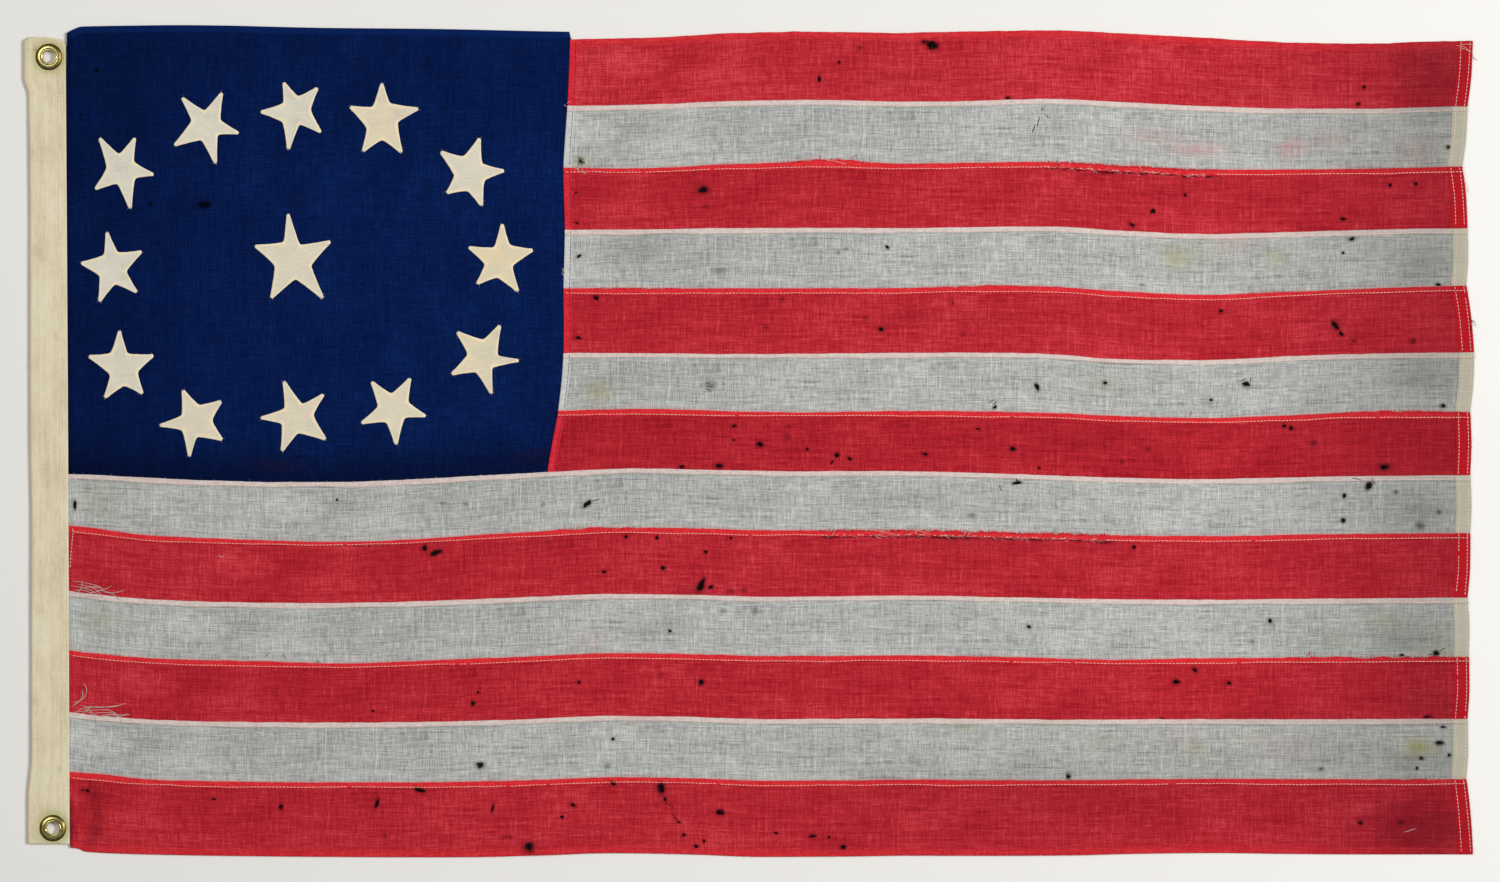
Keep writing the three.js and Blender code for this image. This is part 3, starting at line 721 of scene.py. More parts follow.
offsets = {
    "seam": [0, 0.3, 0.7, 1.4, 2.4, 3.4, 3.9, 4.3, 4.8, 5.4, 6.4, 8.2],
    "tail": [-3.9, -2.4, -1.0, 0.4, 1.6, 3.4],
    "bottomHem": [0, 0.3, 0.7, 2.0, 3.6, 4.8, 5.2, 5.8, 6.6, 8.2],
    "left": [0, 0.3, 0.7, 1.5, 2.8, 4.2, 4.8, 5.3, 5.9, 6.6, 8.2],
    "hoist": [0, 4, 7.5, 9.2, 11, 13, 15.5, 18.5, 22],
    "fly": [0, 0.3, 0.8, 2.0, 4.0, 6.5, 9, 11, 11.4, 11.9, 12.6, 14.5],
    "cantonTail": [1.2, 2.8, 4.8],
}
meshStep = {"along": 3.6, "down": 3.0, "torn": 1.3}
cantonMiddle = {"x": -300, "y": 130, "tail": -130}  # where its height, width and right edge are measured


def columnShares(stripe, start, end):  # shares of the way from start to end, closer where a seam is torn
    places = list(np.linspace(start, end, max(2, round((end - start) / meshStep["along"])) + 1)[1:-1])
    for number, first, last in tornSeams:
        if number == stripe + 1:
            low, high = spot(first, 0)[0] - 5, spot(last, 0)[0] + 5
            fine = np.arange(low, high, meshStep["torn"])
            places = [place for place in places if place < low - 0.6 or place > high + 0.6] + list(fine)
    return (np.array(sorted(places)) - start) / (end - start)


foldStray = {"short": 0.16, "long": 0.2, "frayed": 0.9, "torn": 0.8, "tornIn": 0.1, "reach": (0, 2.2)}


def raggedEdge(stripe, x):  # how a band's folded edge strays from its line
    stray = foldStray["short"] * alongStripe(stripe, x, "foldShort")
    stray = stray + foldStray["long"] * alongStripe(stripe, x, "foldLong")
    frayed = foldStray["frayed"] * tornAmount(stripe, x, frayedSeams) * alongStripe(stripe, x, "foldFrayed")
    torn = foldStray["torn"] * alongStripe(stripe, x, "foldTorn") - foldStray["tornIn"]
    return stray + frayed + tornAmount(stripe, x) * torn


def stripeGrid(stripe):
    top, bottom = seams[stripe], seams[stripe + 1]
    last = stripe == stripeCount - 1
    leftOffsets = offsets["left"] if stripe < shortStripes else offsets["hoist"]
    flyOffsets = offsets["fly"][::-1]
    lowOffsets = (offsets["bottomHem"] if last else offsets["tail"])[::-1]
    middleY = float(top(0) + bottom(0)) / 2
    start = float(leftEdges[stripe](middleY)) + leftOffsets[-1]
    end = float(rightEdges[stripe](middleY)) - flyOffsets[0]
    shares = columnShares(stripe, start, end)
    steps = round((top(0) - bottom(0) - offsets["seam"][-1] - lowOffsets[0]) / meshStep["down"])
    rowShares = np.linspace(0, 1, steps + 1)[1:-1]

    def acrossAt(y):  # one row of x for each y
        left, right = leftEdges[stripe](y), rightEdges[stripe](y)
        first = [left + offset for offset in leftOffsets]
        final = [right - offset for offset in flyOffsets]
        between = [first[-1] + share * (final[0] - first[-1]) for share in shares]
        return np.stack(first + between + final, axis=-1)

    rough = np.linspace(float(top(0)), float(bottom(0)), len(offsets["seam"]) + steps - 1 + len(lowOffsets))
    x = acrossAt(rough)
    for attempt in range(2):
        line, foot = top(x[0]), bottom(x[-1])
        upper = []
        for row, offset in enumerate(offsets["seam"]):
            upper.append(top(x[row]) - offset * bandStretch(stripe, x[row]))
        shrink = 1 if last else step(*fromHoist["tails"], x[-1] - headingInner(foot))
        lower = []
        for offset in lowOffsets:
            lower.append(foot + (offset if offset > 0 else offset * shrink))
        between = [upper[-1] + share * (lower[0] - upper[-1]) for share in rowShares]
        y = np.stack(upper + between + lower)
        x = np.stack([acrossRow(stripe, y[row], leftOffsets, flyOffsets, shares) for row in range(len(y))])
    below = line - y
    y = y + raggedEdge(stripe, x) * (1 - step(*foldStray["reach"], below))
    return x, y


def acrossRow(stripe, y, leftOffsets, flyOffsets, shares):  # x along one row, where y changes along it
    left, right = leftEdges[stripe](y), rightEdges[stripe](y)
    first, final = len(leftOffsets), len(flyOffsets)
    start = left[first:-final] + leftOffsets[-1]
    end = right[first:-final] - flyOffsets[0]
    between = start + shares * (end - start)
    return np.concatenate([left[:first] + leftOffsets, between, right[-final:] - flyOffsets])


def makeStripe(stripe):
    x, y = stripeGrid(stripe)
    name, colour = "cloth_" + stripeNames[stripe], stripeColour(stripe)
    masks = stripeMasks(stripe, x, y)
    top = stripeTop(stripe, x, y)
    doubled = np.maximum(masks["band"], masks["side"])
    under = top - cloth["thick"] - cloth["doubled"] * doubled - cloth["hemRise"] * masks["hem"]
    piece = closedSheet(name, x, y, top, under, stripeMap(stripe, x, y), masks)
    piece.data.materials.append(bunting[colour])
    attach(piece, "root")
    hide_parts(stripeNames[stripe])
    colour + "_bunting"
    return piece, float(x.max() - x.min()), float((y[0] - y[-1]).mean())


def cantonGrid():
    seam = offsets["bottomHem"]
    low = offsets["tail"][::-1]
    cut = offsets["hoist"]
    measured = cantonMiddle["x"]
    head, foot = float(cantonTop(measured)), float(seams[shortStripes](measured))
    high = head - foot
    rowShares = np.linspace(0, 1, round((high - seam[-1] - low[0]) / meshStep["along"]) + 1)[1:-1]
    across = float(cantonTail(cantonMiddle["y"])) - float(cantonHoist(cantonMiddle["y"]))
    columnSteps = round(across / meshStep["along"])
    columnShares = np.linspace(0, 1, columnSteps + 1)[1:]
    tailOffsets = offsets["cantonTail"]
    rowCount = len(seam) + len(rowShares) + len(low)
    y = np.linspace(head, foot, rowCount)
    y = np.repeat(y[:, None], len(cut) + len(columnShares) + len(tailOffsets), axis=1)
    tailColumns = len(tailOffsets)
    for attempt in range(2):
        belowTop = np.minimum(y, seams[0](cantonMiddle["tail"]) - 1)
        left, right = cantonHoist(y), cantonTail(belowTop) - tailOffsets[-1] - 0.3
        first = left[:, :1] + np.array(cut)
        between = left[:, len(cut):-tailColumns] + cut[-1]
        between = between + columnShares * (right[:, len(cut):-tailColumns] - between)
        x = np.concatenate([first, between, right[:, -tailColumns:] + np.array(tailOffsets) + 0.3], axis=1)
        line = cantonTop(x[0])
        line[-tailColumns:] = seams[0](x[0, -tailColumns:]) - 0.5
        foot = seams[shortStripes](x[-1])
        shrink = step(*fromHoist["tails"], x[-1] - headingInner(foot))
        upper = [line - offset for offset in seam]
        lower = [foot + (offset if offset > 0 else offset * shrink) for offset in low]
        y = np.stack(upper + [upper[-1] + share * (lower[0] - upper[-1]) for share in rowShares] + lower)
    return x, y


def makeCanton():
    x, y = cantonGrid()
    masks = cantonMasks(x, y)
    top = cantonHeight(x, y)
    under = top - cloth["thick"] - cloth["hemRise"] * masks["hem"]
    piece = closedSheet("cloth_canton", x, y, top, under, (y, x), masks)
    piece.data.materials.append(bunting["blue"])
    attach(piece, "root")
    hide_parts("canton")
    return piece, float(x.max() - x.min()), float(y.max() - y.min())


stripePieces = [makeStripe(stripe) for stripe in range(stripeCount)]
cantonPiece = makeCanton()
print("stripes and canton laid")

# Stars

starShape = {
    "high": 0.55,
    "gap": 0.04,
    "step": 1.3,
    "hem": (0.8, 2.2),
    "tip": 0.78,         # past this share of its reach, a point stays sharp
    "stray": 0.18,       # how far the edge wanders
    "turnedHigh": 0.14,  # the turned edge shows as a low ridge
    "turnedIn": 1.1,
    "uneven": 0.1,
    "frayed": (0.93, 1.0),
    "frayCover": 0.75,
    "tufts": 0.86,       # yarn stands out past this share of its reach
}
starRings = [1, 0.985, 0.96, 0.92, 0.86, 0.76, 0.62, 0.46, 0.3, 0.14]
starAges = [0.15, 0.2, 0.2, 0.75, 0.3, 1.0, 0.8, 0.55, 0.6, 0.5, 0.2, 0.1, 0.45]  # how yellow each one is


def starOutline(node):  # the upper outline of a star's solid, in order
    shape = bmesh.new()
    shape.from_mesh(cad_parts[node].data)
    bmesh.ops.remove_doubles(shape, verts=shape.verts, dist=weld)
    bmesh.ops.delete(shape, geom=[face for face in shape.faces if face.normal.z < 0.9], context="FACES")
    edges = [edge for edge in shape.edges if edge.is_boundary]
    here = edges[0].verts[0]
    start, before, outline = here, None, []
    while True:
        outline.append((here.co.x / metre, here.co.y / metre))
        ways = [edge for edge in here.link_edges if edge.is_boundary and edge != before]
        before = ways[0]
        here = before.other_vert(here)
        if here == start:
            break
    shape.free()
    outline = np.array(outline)
    following = np.roll(outline, -1, axis=0)
    turn = np.sum(outline[:, 0] * following[:, 1] - following[:, 0] * outline[:, 1])
    return outline if turn > 0 else outline[::-1]


def evenly(outline, between):  # points at even steps round a closed outline
    closed = np.vstack([outline, outline[:1]])
    run = np.concatenate([[0], np.cumsum(np.hypot(*np.diff(closed, axis=0).T))])
    at = np.linspace(0, run[-1], round(run[-1] / between) + 1)[:-1]
    return np.stack([np.interp(at, run, closed[:, axis]) for axis in (0, 1)], axis=-1)


def discFaces(rings, count):  # rings from the outside in, the middle, then the underside's ring and middle
    here = np.arange(count)
    following = np.roll(here, -1)
    centre = count * rings
    foot, last = centre + 1, centre - count
    quads = [np.stack([outer + here, outer + following, outer + count + following, outer + count + here], -1)
             for outer in range(0, last, count)]
    quads.append(np.stack([foot + here, foot + following, following, here], -1))
    cap = np.stack([last + here, last + following, np.full(count, centre)], -1)
    floor = np.stack([foot + following, foot + here, np.full(count, foot + count)], -1)
    return np.vstack(quads), np.vstack([cap, floor])


def makeStar(number):
    node = f"star_{number:02d}"
    outline = evenly(starOutline(node), starShape["step"])
    middle = outline.mean(axis=0)
    for smoothing in range(2):
        softened = (np.roll(outline, 1, axis=0) + 2 * outline + np.roll(outline, -1, axis=0)) / 4
        reach = np.hypot(*(outline - middle).T)
        inTip = (reach > reach.max() * starShape["tip"])[:, None]
        outline = np.where(inTip, outline, softened)
    wide, seed = grain["starEdge"]
    stray = starShape["stray"] * softNoise(outline[:, 0] * 3, outline[:, 1] * 3, wide, seed + number)
    away = (outline - middle) / np.hypot(*(outline - middle).T)[:, None]
    outline = outline + away * stray[:, None]
    count = len(outline)
    reach = np.hypot(*(outline - middle).T)
    places, rim, fray = [], [], []
    for share in starRings:
        ring = middle + (outline - middle) * share
        inside = (1 - share) * reach * 0.6
        turned = starShape["turnedHigh"] * np.exp(-(inside - starShape["turnedIn"]) ** 2)
        height = starShape["high"] * (0.5 + 0.5 * step(0, 0.5, inside)) + turned
        height = height + starShape["uneven"] * softNoise(ring[:, 0], ring[:, 1], *grain["starFace"])
        base = clothTop(ring[:, 0], ring[:, 1]) + starShape["gap"]
        places.append(np.column_stack([ring, base + height]))
        rim.append(1 - step(*starShape["hem"], inside))
        fray.append(starShape["frayCover"] * step(*starShape["frayed"], share * reach / reach.max()))
    base = clothTop(outline[:, 0], outline[:, 1]) + starShape["gap"]
    middleTop = float(clothTop(middle[0], middle[1])) + starShape["gap"]
    places.append([[middle[0], middle[1], middleTop + starShape["high"]]])
    places.append(np.column_stack([outline, base]))
    places.append([[middle[0], middle[1], middleTop]])
    masks = {
        "rim": np.concatenate([*rim, [0], np.ones(count), [0]]),
        "fray": np.concatenate([*fray, [0], np.zeros(count), [0]]),
        "age": np.full(len(np.vstack(places)), starAges[number - 1]),
    }
    piece = meshPiece("cloth_" + node, np.vstack(places), discFaces(len(starRings), count), None, masks)
    piece.data.materials.append(starCotton)
    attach(piece, "root")
    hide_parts(node)
    following = np.roll(outline, -1, axis=0)
    area = abs(np.sum(outline[:, 0] * following[:, 1] - following[:, 0] * outline[:, 1])) / 2
    size = outline.max(axis=0) - outline.min(axis=0)
    return piece, size, area, outline


starPieces = [makeStar(number) for number in range(1, len(starAges) + 1)]
print("stars laid")

# Heading

headingShape = {
    "top": 2.75,
    "slotTop": 1.95,
    "slotUnder": 0.72,
    "slotDeep": 8.6,
    "fold": 1.2,
    "inside": 1.4,       # the height at which the two leaves meet
    "foot": -305,
    "long": 611,
    "rows": 300,
    "sewn": (1.5, 6.2),  # rows of sewing pull it in, this far from its inner edge
    "sewnDeep": 0.12,
    "sewnWide": 0.6,
    "measured": 610,     # the length that its thin ends are measured along
    "thinner": 0.28,
    "thinOver": 0.9,
    "uneven": (0.14, 0.1),
}
# Handling marks: place and reach in photo pixels, then strength
headingMarks = [
    (36, 50, 2.5, 0.6), (58, 337, 2, 0.35), (40, 610, 4, 0.25), (34, 250, 4, 0.2), (60, 770, 3, 0.3),
    (48, 150, 5, 0.2), (33, 700, 4, 0.2), (44, 470, 6, 0.15),
]
headingStain = {"halo": 0.8, "haloReach": 4.0, "haloStart": -3, "edge": 1.6}
# The canvas is pressed down round a washer in front and up over the flange behind, and gathers round it
pressed = {
    "front": 0.42, "frontReach": (-1, 4.5), "back": 0.62, "gather": 0.12, "gathers": 9, "gatherEnd": (11, 17),
}
grommetNodes = {"top": "grommet_top", "bottom": "grommet_bottom"}
grommetCentres = {}
for place, node in grommetNodes.items():
    low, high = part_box(node)
    grommetCentres[place] = ((low.x + high.x) / 2 / metre, (low.y + high.y) / 2 / metre)
holeRadius = 5.65
washerRadius = 10.1
cutterShape = {"corners": 48, "deep": 20}


def makeHeading():
    # The section is one closed line: the upper leaf, the fold, the lower leaf and the slot between them
    top, slotTop, slotUnder = headingShape["top"], headingShape["slotTop"], headingShape["slotUnder"]
    deep, fold = headingShape["slotDeep"], headingShape["fold"]
    section = [("in", 0, slotTop + 0.15), ("in", 0, top - 0.3), ("in", 0.25, top - 0.08), ("in", 0.7, top)]
    section += [("share", share, top) for share in np.linspace(0.05, 0.95, 19)]
    for angle in np.linspace(80, -80, 9):
        turn = math.radians(angle)
        section.append(("out", fold * (1 - math.cos(turn)), top / 2 + top / 2 * math.sin(turn)))
    section += [("share", share, 0) for share in (0.95, 0.6, 0.3, 0.05)]
    section += [("in", 0, 0), ("in", 0, slotUnder), ("in", deep / 2, slotUnder)]
    section.append(("in", deep, slotUnder + 0.3))
    section += [("share", share, headingShape["inside"] - 0.06) for share in (0.3, 0.6, 0.93)]
    section += [("share", share, headingShape["inside"] + 0.06) for share in (0.94, 0.6, 0.3)]
    section += [("in", deep, slotTop - 0.1), ("in", deep / 2, slotTop)]
    rows = np.linspace(0, 1, headingShape["rows"])
    rows = 0.5 - 0.5 * np.cos(np.pi * rows) * (1 - 0.15 * np.sin(np.pi * rows) ** 2)
    rows = np.sort(np.unique(np.concatenate([[0.0008, 0.002], rows, [0.998, 0.9992]])))
    places, uv = [], []
    for row in rows:
        rough = headingShape["foot"] + row * headingShape["long"]
        for attempt in range(2):
            inner, outer = float(headingInner(rough)), float(headingOuter(rough))
            line = []
            for kind, value, height in section:
                if kind == "in":
                    x = inner - value
                elif kind == "out":
                    x = outer + value
                else:
                    x = inner - fold + value * (outer - inner + 2 * fold)
                line.append((x, height))
        line = np.array(line)
        y = headingFoot(line[:, 0]) + row * (headingTop(line[:, 0]) - headingFoot(line[:, 0]))
        end = min(row, 1 - row) * headingShape["measured"]
        squeeze = 1 - headingShape["thinner"] * np.clip(1 - end / headingShape["thinOver"], 0, 1) ** 2
        z = top / 2 + (line[:, 1] - top / 2) * squeeze
        places.append(np.column_stack([line[:, 0], y, z]))
        uv.append(np.column_stack([line[:, 0] - outer, y]))
    places, uv = np.array(places), np.array(uv)
    upper = places[..., 2] > top - 0.5
    lower = places[..., 2] < 0.3
    for centre in grommetCentres.values():
        away = np.hypot(places[..., 0] - centre[0], places[..., 1] - centre[1])
        near, far = pressed["frontReach"]
        sunk = pressed["front"] * (1 - step(washerRadius + near, washerRadius + far, away))
        angle = np.arctan2(places[..., 1] - centre[1], places[..., 0] - centre[0])
        gathers = pressed["gather"] * np.cos(angle * pressed["gathers"])
        ring = step(washerRadius - 2, washerRadius, away) * (1 - step(*pressed["gatherEnd"], away))
        places[..., 2] -= (sunk + gathers * ring) * upper
        places[..., 2] += pressed["back"] * (1 - step(washerRadius, washerRadius + 1, away)) * lower
    wide, fine = headingShape["uneven"]
    uneven = wide * softNoise(places[..., 0], places[..., 1] * 0.6, *grain["canvas"])
    uneven += fine * softNoise(places[..., 0] * 2, places[..., 1] * 0.3, *grain["canvasThreads"])
    places[..., 2] += uneven * upper
    seamLine = headingInner(places[..., 1]) - places[..., 0]
    for inset in headingShape["sewn"]:
        drawn = np.exp(-((seamLine - inset) / headingShape["sewnWide"]) ** 2)
        places[..., 2] -= headingShape["sewnDeep"] * drawn * upper
    count = len(section)
    index = np.arange(len(rows) * count).reshape(len(rows), count)
    around = np.roll(index, -1, axis=1)
    sides = np.stack([index[:-1], index[1:], around[1:], around[:-1]], -1).reshape(-1, 4)
    flat = places.reshape(-1, 3)
    centres = list(grommetCentres.values())
    away = np.min([np.hypot(flat[:, 0] - c[0], flat[:, 1] - c[1]) for c in centres], axis=0)
    halo = np.exp(-((away - washerRadius) / headingStain["haloReach"]) ** 2)
    halo = headingStain["halo"] * halo * (away > washerRadius + headingStain["haloStart"])
    edge = (flat[:, 0] - headingOuter(flat[:, 1])) / headingStain["edge"]
    soil = np.zeros(len(flat))
    for px, py, radius, strength in headingMarks:
        cx, cy = spot(px, py)
        fromMark = np.hypot(flat[:, 0] - cx, flat[:, 1] - cy) / (radius * photo["mmPerPixel"])
        soil = soil + strength * np.exp(-fromMark ** 2)
    masks = {"halo": halo, "edgeStain": np.exp(-edge ** 2), "soil": soil}
    piece = meshPiece("cloth_heading", flat, [sides], uv.reshape(-1, 2), masks)
    closeEnds(piece)
    for centre in centres:
        cutHole(piece, centre)
    piece.data.materials.append(headingCanvas)
    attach(piece, "root")
    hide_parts("heading")
    return piece


def activate(piece):
    bpy.ops.object.select_all(action="DESELECT")
    piece.select_set(True)
    bpy.context.view_layer.objects.active = piece


def closeEnds(piece):  # fills the open ends of a tube and turns its faces out
    shape = bmesh.new()
    shape.from_mesh(piece.data)
    bmesh.ops.holes_fill(shape, edges=[edge for edge in shape.edges if edge.is_boundary])
    bmesh.ops.recalc_face_normals(shape, faces=shape.faces)
    shape.to_mesh(piece.data)
    shape.free()


def cutHole(piece, centre):
    bpy.ops.object.select_all(action="DESELECT")
    corners, deep = cutterShape["corners"], cutterShape["deep"] * metre
    bpy.ops.mesh.primitive_cylinder_add(vertices=corners, radius=holeRadius * metre, depth=deep,
                                        location=(centre[0] * metre, centre[1] * metre, 0))
    cutter = bpy.context.object
    activate(piece)
    punch = piece.modifiers.new("punch", "BOOLEAN")
    punch.operation = "DIFFERENCE"
    punch.solver = "EXACT"
    punch.object = cutter
    bpy.ops.object.modifier_apply(modifier=punch.name)
    bpy.data.objects.remove(cutter)


headingPiece = makeHeading()
print("heading folded and punched")

# Brass grommets and washers, each spun from its section

grommetSection = [
    (4.85, 0.12), (5.2, 0.0), (9.6, 0.0), (10.0, 0.2), (10.0, 0.45), (9.7, 0.6), (6.2, 0.62), (5.5, 0.75),
    (5.35, 1.2), (5.35, 3.2), (5.5, 3.5), (5.8, 3.66), (6.15, 3.84), (6.3, 3.98), (6.25, 4.16), (6.0, 4.34),
    (5.6, 4.45), (5.2, 4.38), (4.92, 4.14), (4.8, 3.7), (4.8, 2.0), (4.8, 0.4),
]
washerSection = [
    (5.75, 2.42), (10.0, 2.38), (10.15, 2.5), (10.1, 2.68), (9.9, 2.92), (9.5, 3.2), (8.9, 3.5),
    (8.2, 3.76), (7.5, 3.93), (6.9, 3.98), (6.3, 3.9), (5.75, 3.7),
]

spinSteps = 72
dullDrop = 0.5       # below the crown, past which the brass is dull
dullRim = (7, 8.8)
lipEdge = 6.35       # the groove between the lip and the washer
sharpTurn = 50       # degrees between faces, past which an edge isn't smooth


def spinPiece(name, node, section, centre):
    bpy.ops.object.select_all(action="DESELECT")
    bpy.ops.mesh.primitive_circle_add(vertices=len(section), radius=metre, fill_type="NOTHING")
    made = bpy.context.object
    made.name = made.data.name = name
    for vertex, (radius, height) in zip(made.data.vertices, section):
        vertex.co = ((centre[0] + radius) * metre, centre[1] * metre, height * metre)
    made.location = (0, 0, 0)
    activate(made)
    bpy.ops.object.mode_set(mode="EDIT")
    bpy.ops.mesh.select_all(action="SELECT")
    middle = (centre[0] * metre, centre[1] * metre, 0)
    bpy.ops.mesh.spin(steps=spinSteps, angle=math.tau, center=middle, axis=(0, 0, 1))
    bpy.ops.mesh.select_all(action="SELECT")
    bpy.ops.mesh.remove_doubles(threshold=weld)
    bpy.ops.mesh.normals_make_consistent(inside=False)
    bpy.ops.object.mode_set(mode="OBJECT")
    bpy.ops.object.shade_smooth_by_angle(angle=math.radians(sharpTurn))
    places = np.zeros(len(made.data.vertices) * 3, np.float32)
    made.data.vertices.foreach_get("co", places)
    places = places.reshape(-1, 3) / metre
    radius = np.hypot(places[:, 0] - centre[0], places[:, 1] - centre[1])
    crown = max(height for reach, height in section)
    outer = step(0, dullDrop, crown - places[:, 2]) * step(*dullRim, radius)
    low = outer + 0.8 * np.exp(-((radius - lipEdge) / 0.3) ** 2)
    attribute = made.data.attributes.new("low", "FLOAT", "POINT")
    attribute.data.foreach_set("value", low.astype(np.float32))
    made.data.materials.append(agedBrass)
    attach(made, "root")
    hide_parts(node)


for place, centre in grommetCentres.items():
    spinPiece(f"brass_grommet_{place}", f"grommet_{place}", grommetSection, centre)
    spinPiece(f"brass_washer_{place}", f"washer_{place}", washerSection, centre)
print("grommets spun")

# Sewing

stitch = {
    "long": 2.45,
    "pitch": 2.75,
    "radius": 0.24,
    "kept": 0.985,       # the share that hasn't worn away
    "tornAway": 0.62,
    "seam": 3.55,        # in from the folded edges
    "side": 4.7,
    "hem": 4.2,
    "fly": (9.2, 2.3),
    "aboveCloth": 0.05,
    "askew": 0.05,
    "longSpread": (0.9, 1.08),
    "thickSpread": (0.85, 1.15),
    "sideLong": 2.8,
    "sideRadius": 0.2,
    "flyRadius": 0.23,
    "headingRadius": 0.22,
    "bare": ((73.4, 528), (70.4, 566)),  # ends of the row that the heading doesn't cover, in photo pixels
}
# Where rows of sewing start and end along the flag
sewingEnds = {"hoist": -514, "hemHoist": -512, "shortHem": -134, "fly": 548, "side": -135, "flyHem": 542}
headingSewing = {"foot": -300, "top": 298}
stitches = {"pale": [], "dark": [], "red": []}  # each is (x, y, z, heading, length, radius)


def sew(thread, x, y, keep=None, radius=None, long=None):
    # Stitches of even pitch along a line of points
    run = np.concatenate([[0], np.cumsum(np.hypot(np.diff(x), np.diff(y)))])
    at = np.arange(stitch["pitch"] / 2, run[-1], stitch["pitch"])
    cx, cy = np.interp(at, run, x), np.interp(at, run, y)
    ax, ay = np.interp(at - 0.5, run, x), np.interp(at - 0.5, run, y)
    bx, by = np.interp(at + 0.5, run, x), np.interp(at + 0.5, run, y)
    rng = np.random.default_rng(len(stitches[thread]) + seeds["sewing"])
    heading = np.arctan2(by - ay, bx - ax) + rng.normal(0, stitch["askew"], len(at))
    kept = rng.random(len(at)) < (stitch["kept"] if keep is None else keep(cx))
    length = (long or stitch["long"]) * rng.uniform(*stitch["longSpread"], len(at))
    thick = (radius or stitch["radius"]) * rng.uniform(*stitch["thickSpread"], len(at))
    top = clothTop(cx, cy) + stitch["aboveCloth"]
    stitches[thread].append(np.column_stack([cx, cy, top, heading, length, thick])[kept])


def seamStitchLine(stripe, x):  # y of the sewing just inside a band's lower edge
    wander = 0.35 * alongStripe(stripe, x, "seamSewingLong")
    wander = wander + 0.1 * alongStripe(stripe, x, "seamSewingShort")
    return seams[stripe](x) - stitch["seam"] * bandStretch(stripe, x) - 0.5 * wander


def sewSeams():
    for stripe in range(1, stripeCount):
        left = float(leftEdges[stripe](seams[stripe](0) - 10)) + 1.5
        if stripe >= shortStripes:
            left = sewingEnds["hoist"]
        x = np.arange(left, float(rightEdges[stripe](seams[stripe](500) - 4)) - 0.5, 1.0)

        def keep(at, stripe=stripe):
            return stitch["kept"] - stitch["tornAway"] * tornAmount(stripe, at)

        sew("pale", x, seamStitchLine(stripe, x), keep)
    x = np.arange(sewingEnds["shortHem"], sewingEnds["fly"], 1.0)
    sew("red", x, seams[0](x) - stitch["hem"])
    x = np.arange(sewingEnds["hemHoist"], sewingEnds["fly"], 1.0)
    sew("red", x, seams[-1](x) + stitch["hem"])
    # The dark side sewing runs almost unbroken, so that it also paints the shade of the crease along the side
    # band
    for stripe in range(shortStripes):
        low, high = (float(seams[number](sewingEnds["side"])) for number in (stripe + 1, stripe))
        y = np.arange(high - 1, low + 0.3, -1.0)
        wander = 0.25 * softNoise(y, 0, *grain["sideSewing"])
        x = leftEdges[stripe](y) + stitch["side"] + wander
        sew("dark", x, y, radius=stitch["sideRadius"], long=stitch["sideLong"])
    for inset in stitch["fly"]:
        for stripe in range(stripeCount):
            low, high = (float(seams[number](sewingEnds["flyHem"])) for number in (stripe + 1, stripe))
            y = np.arange(high - 0.4, low + 0.4, -1.0)
            wander = 0.4 * softNoise(y, inset * 30, *grain["flySewing"])
            sew("pale", rightEdges[stripe](y) - inset + wander, y, radius=stitch["flyRadius"])


def sewHeading():  # two rows along the heading's inner edge, and one that it doesn't quite cover
    y = np.arange(headingSewing["foot"], headingSewing["top"], 1.0)
    for inset in headingShape["sewn"]:
        x = headingInner(y) - inset + 0.15 * softNoise(y, inset * 50, *grain["headingSewing"])
        run = np.arange(0, len(y) - 1, stitch["pitch"])
        cx, cy = np.interp(run, np.arange(len(y)), x), np.interp(run, np.arange(len(y)), y)
        rng = np.random.default_rng(int(inset * 10))
        heading = np.full(len(run), math.pi / 2) + rng.normal(0, stitch["askew"], len(run))
        top = np.full(len(run), headingShape["top"] + 0.02)
        sizes = [np.full(len(run), stitch["long"]), np.full(len(run), stitch["headingRadius"])]
        stitches["pale"].append(np.column_stack([cx, cy, top, heading, *sizes]))
    start, end = (spot(*place) for place in stitch["bare"])
    share = np.linspace(0, 1, 30)
    sew("pale", start[0] + share * (end[0] - start[0]), start[1] + share * (end[1] - start[1]))


def stitchMesh(name, rows, material):
    rows = np.vstack(rows)
    x, y, z, heading, length, radius = rows.T
    along = np.stack([np.cos(heading), np.sin(heading), np.zeros(len(x))], -1)
    aside = np.stack([-np.sin(heading), np.cos(heading), np.zeros(len(x))], -1)
    upward = np.array([0, 0, 1.0])
    centre = np.stack([x, y, z], -1)
    points = [centre - along * (length / 2)[:, None], centre + along * (length / 2)[:, None]]
    for end in (-0.28, 0.28):
        for side, rise in ((1, 0), (0, 1), (-1, 0), (0, -1)):
            offset = along * (length * end)[:, None] + aside * (radius * side)[:, None]
            points.append(centre + offset + upward * (radius * rise * 0.8)[:, None])
    count = len(x)
    places = np.stack(points, axis=1).reshape(-1, 3)
    ring = [2, 3, 4, 5]
    second = [6, 7, 8, 9]
    quads, triangles = [], []
    for corner in range(4):
        following = (corner + 1) % 4
        quads.append([ring[corner], ring[following], second[following], second[corner]])
        triangles.append([0, ring[following], ring[corner]])
        triangles.append([1, second[corner], second[following]])
    base = (np.arange(count) * 10)[:, None, None]
    quads = (np.array(quads)[None] + base).reshape(-1, 4)
    triangles = (np.array(triangles)[None] + base).reshape(-1, 3)
    piece = meshPiece(name, places, [quads[:, ::-1], triangles[:, ::-1]])
    piece.data.materials.append(material)
    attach(piece, "root")


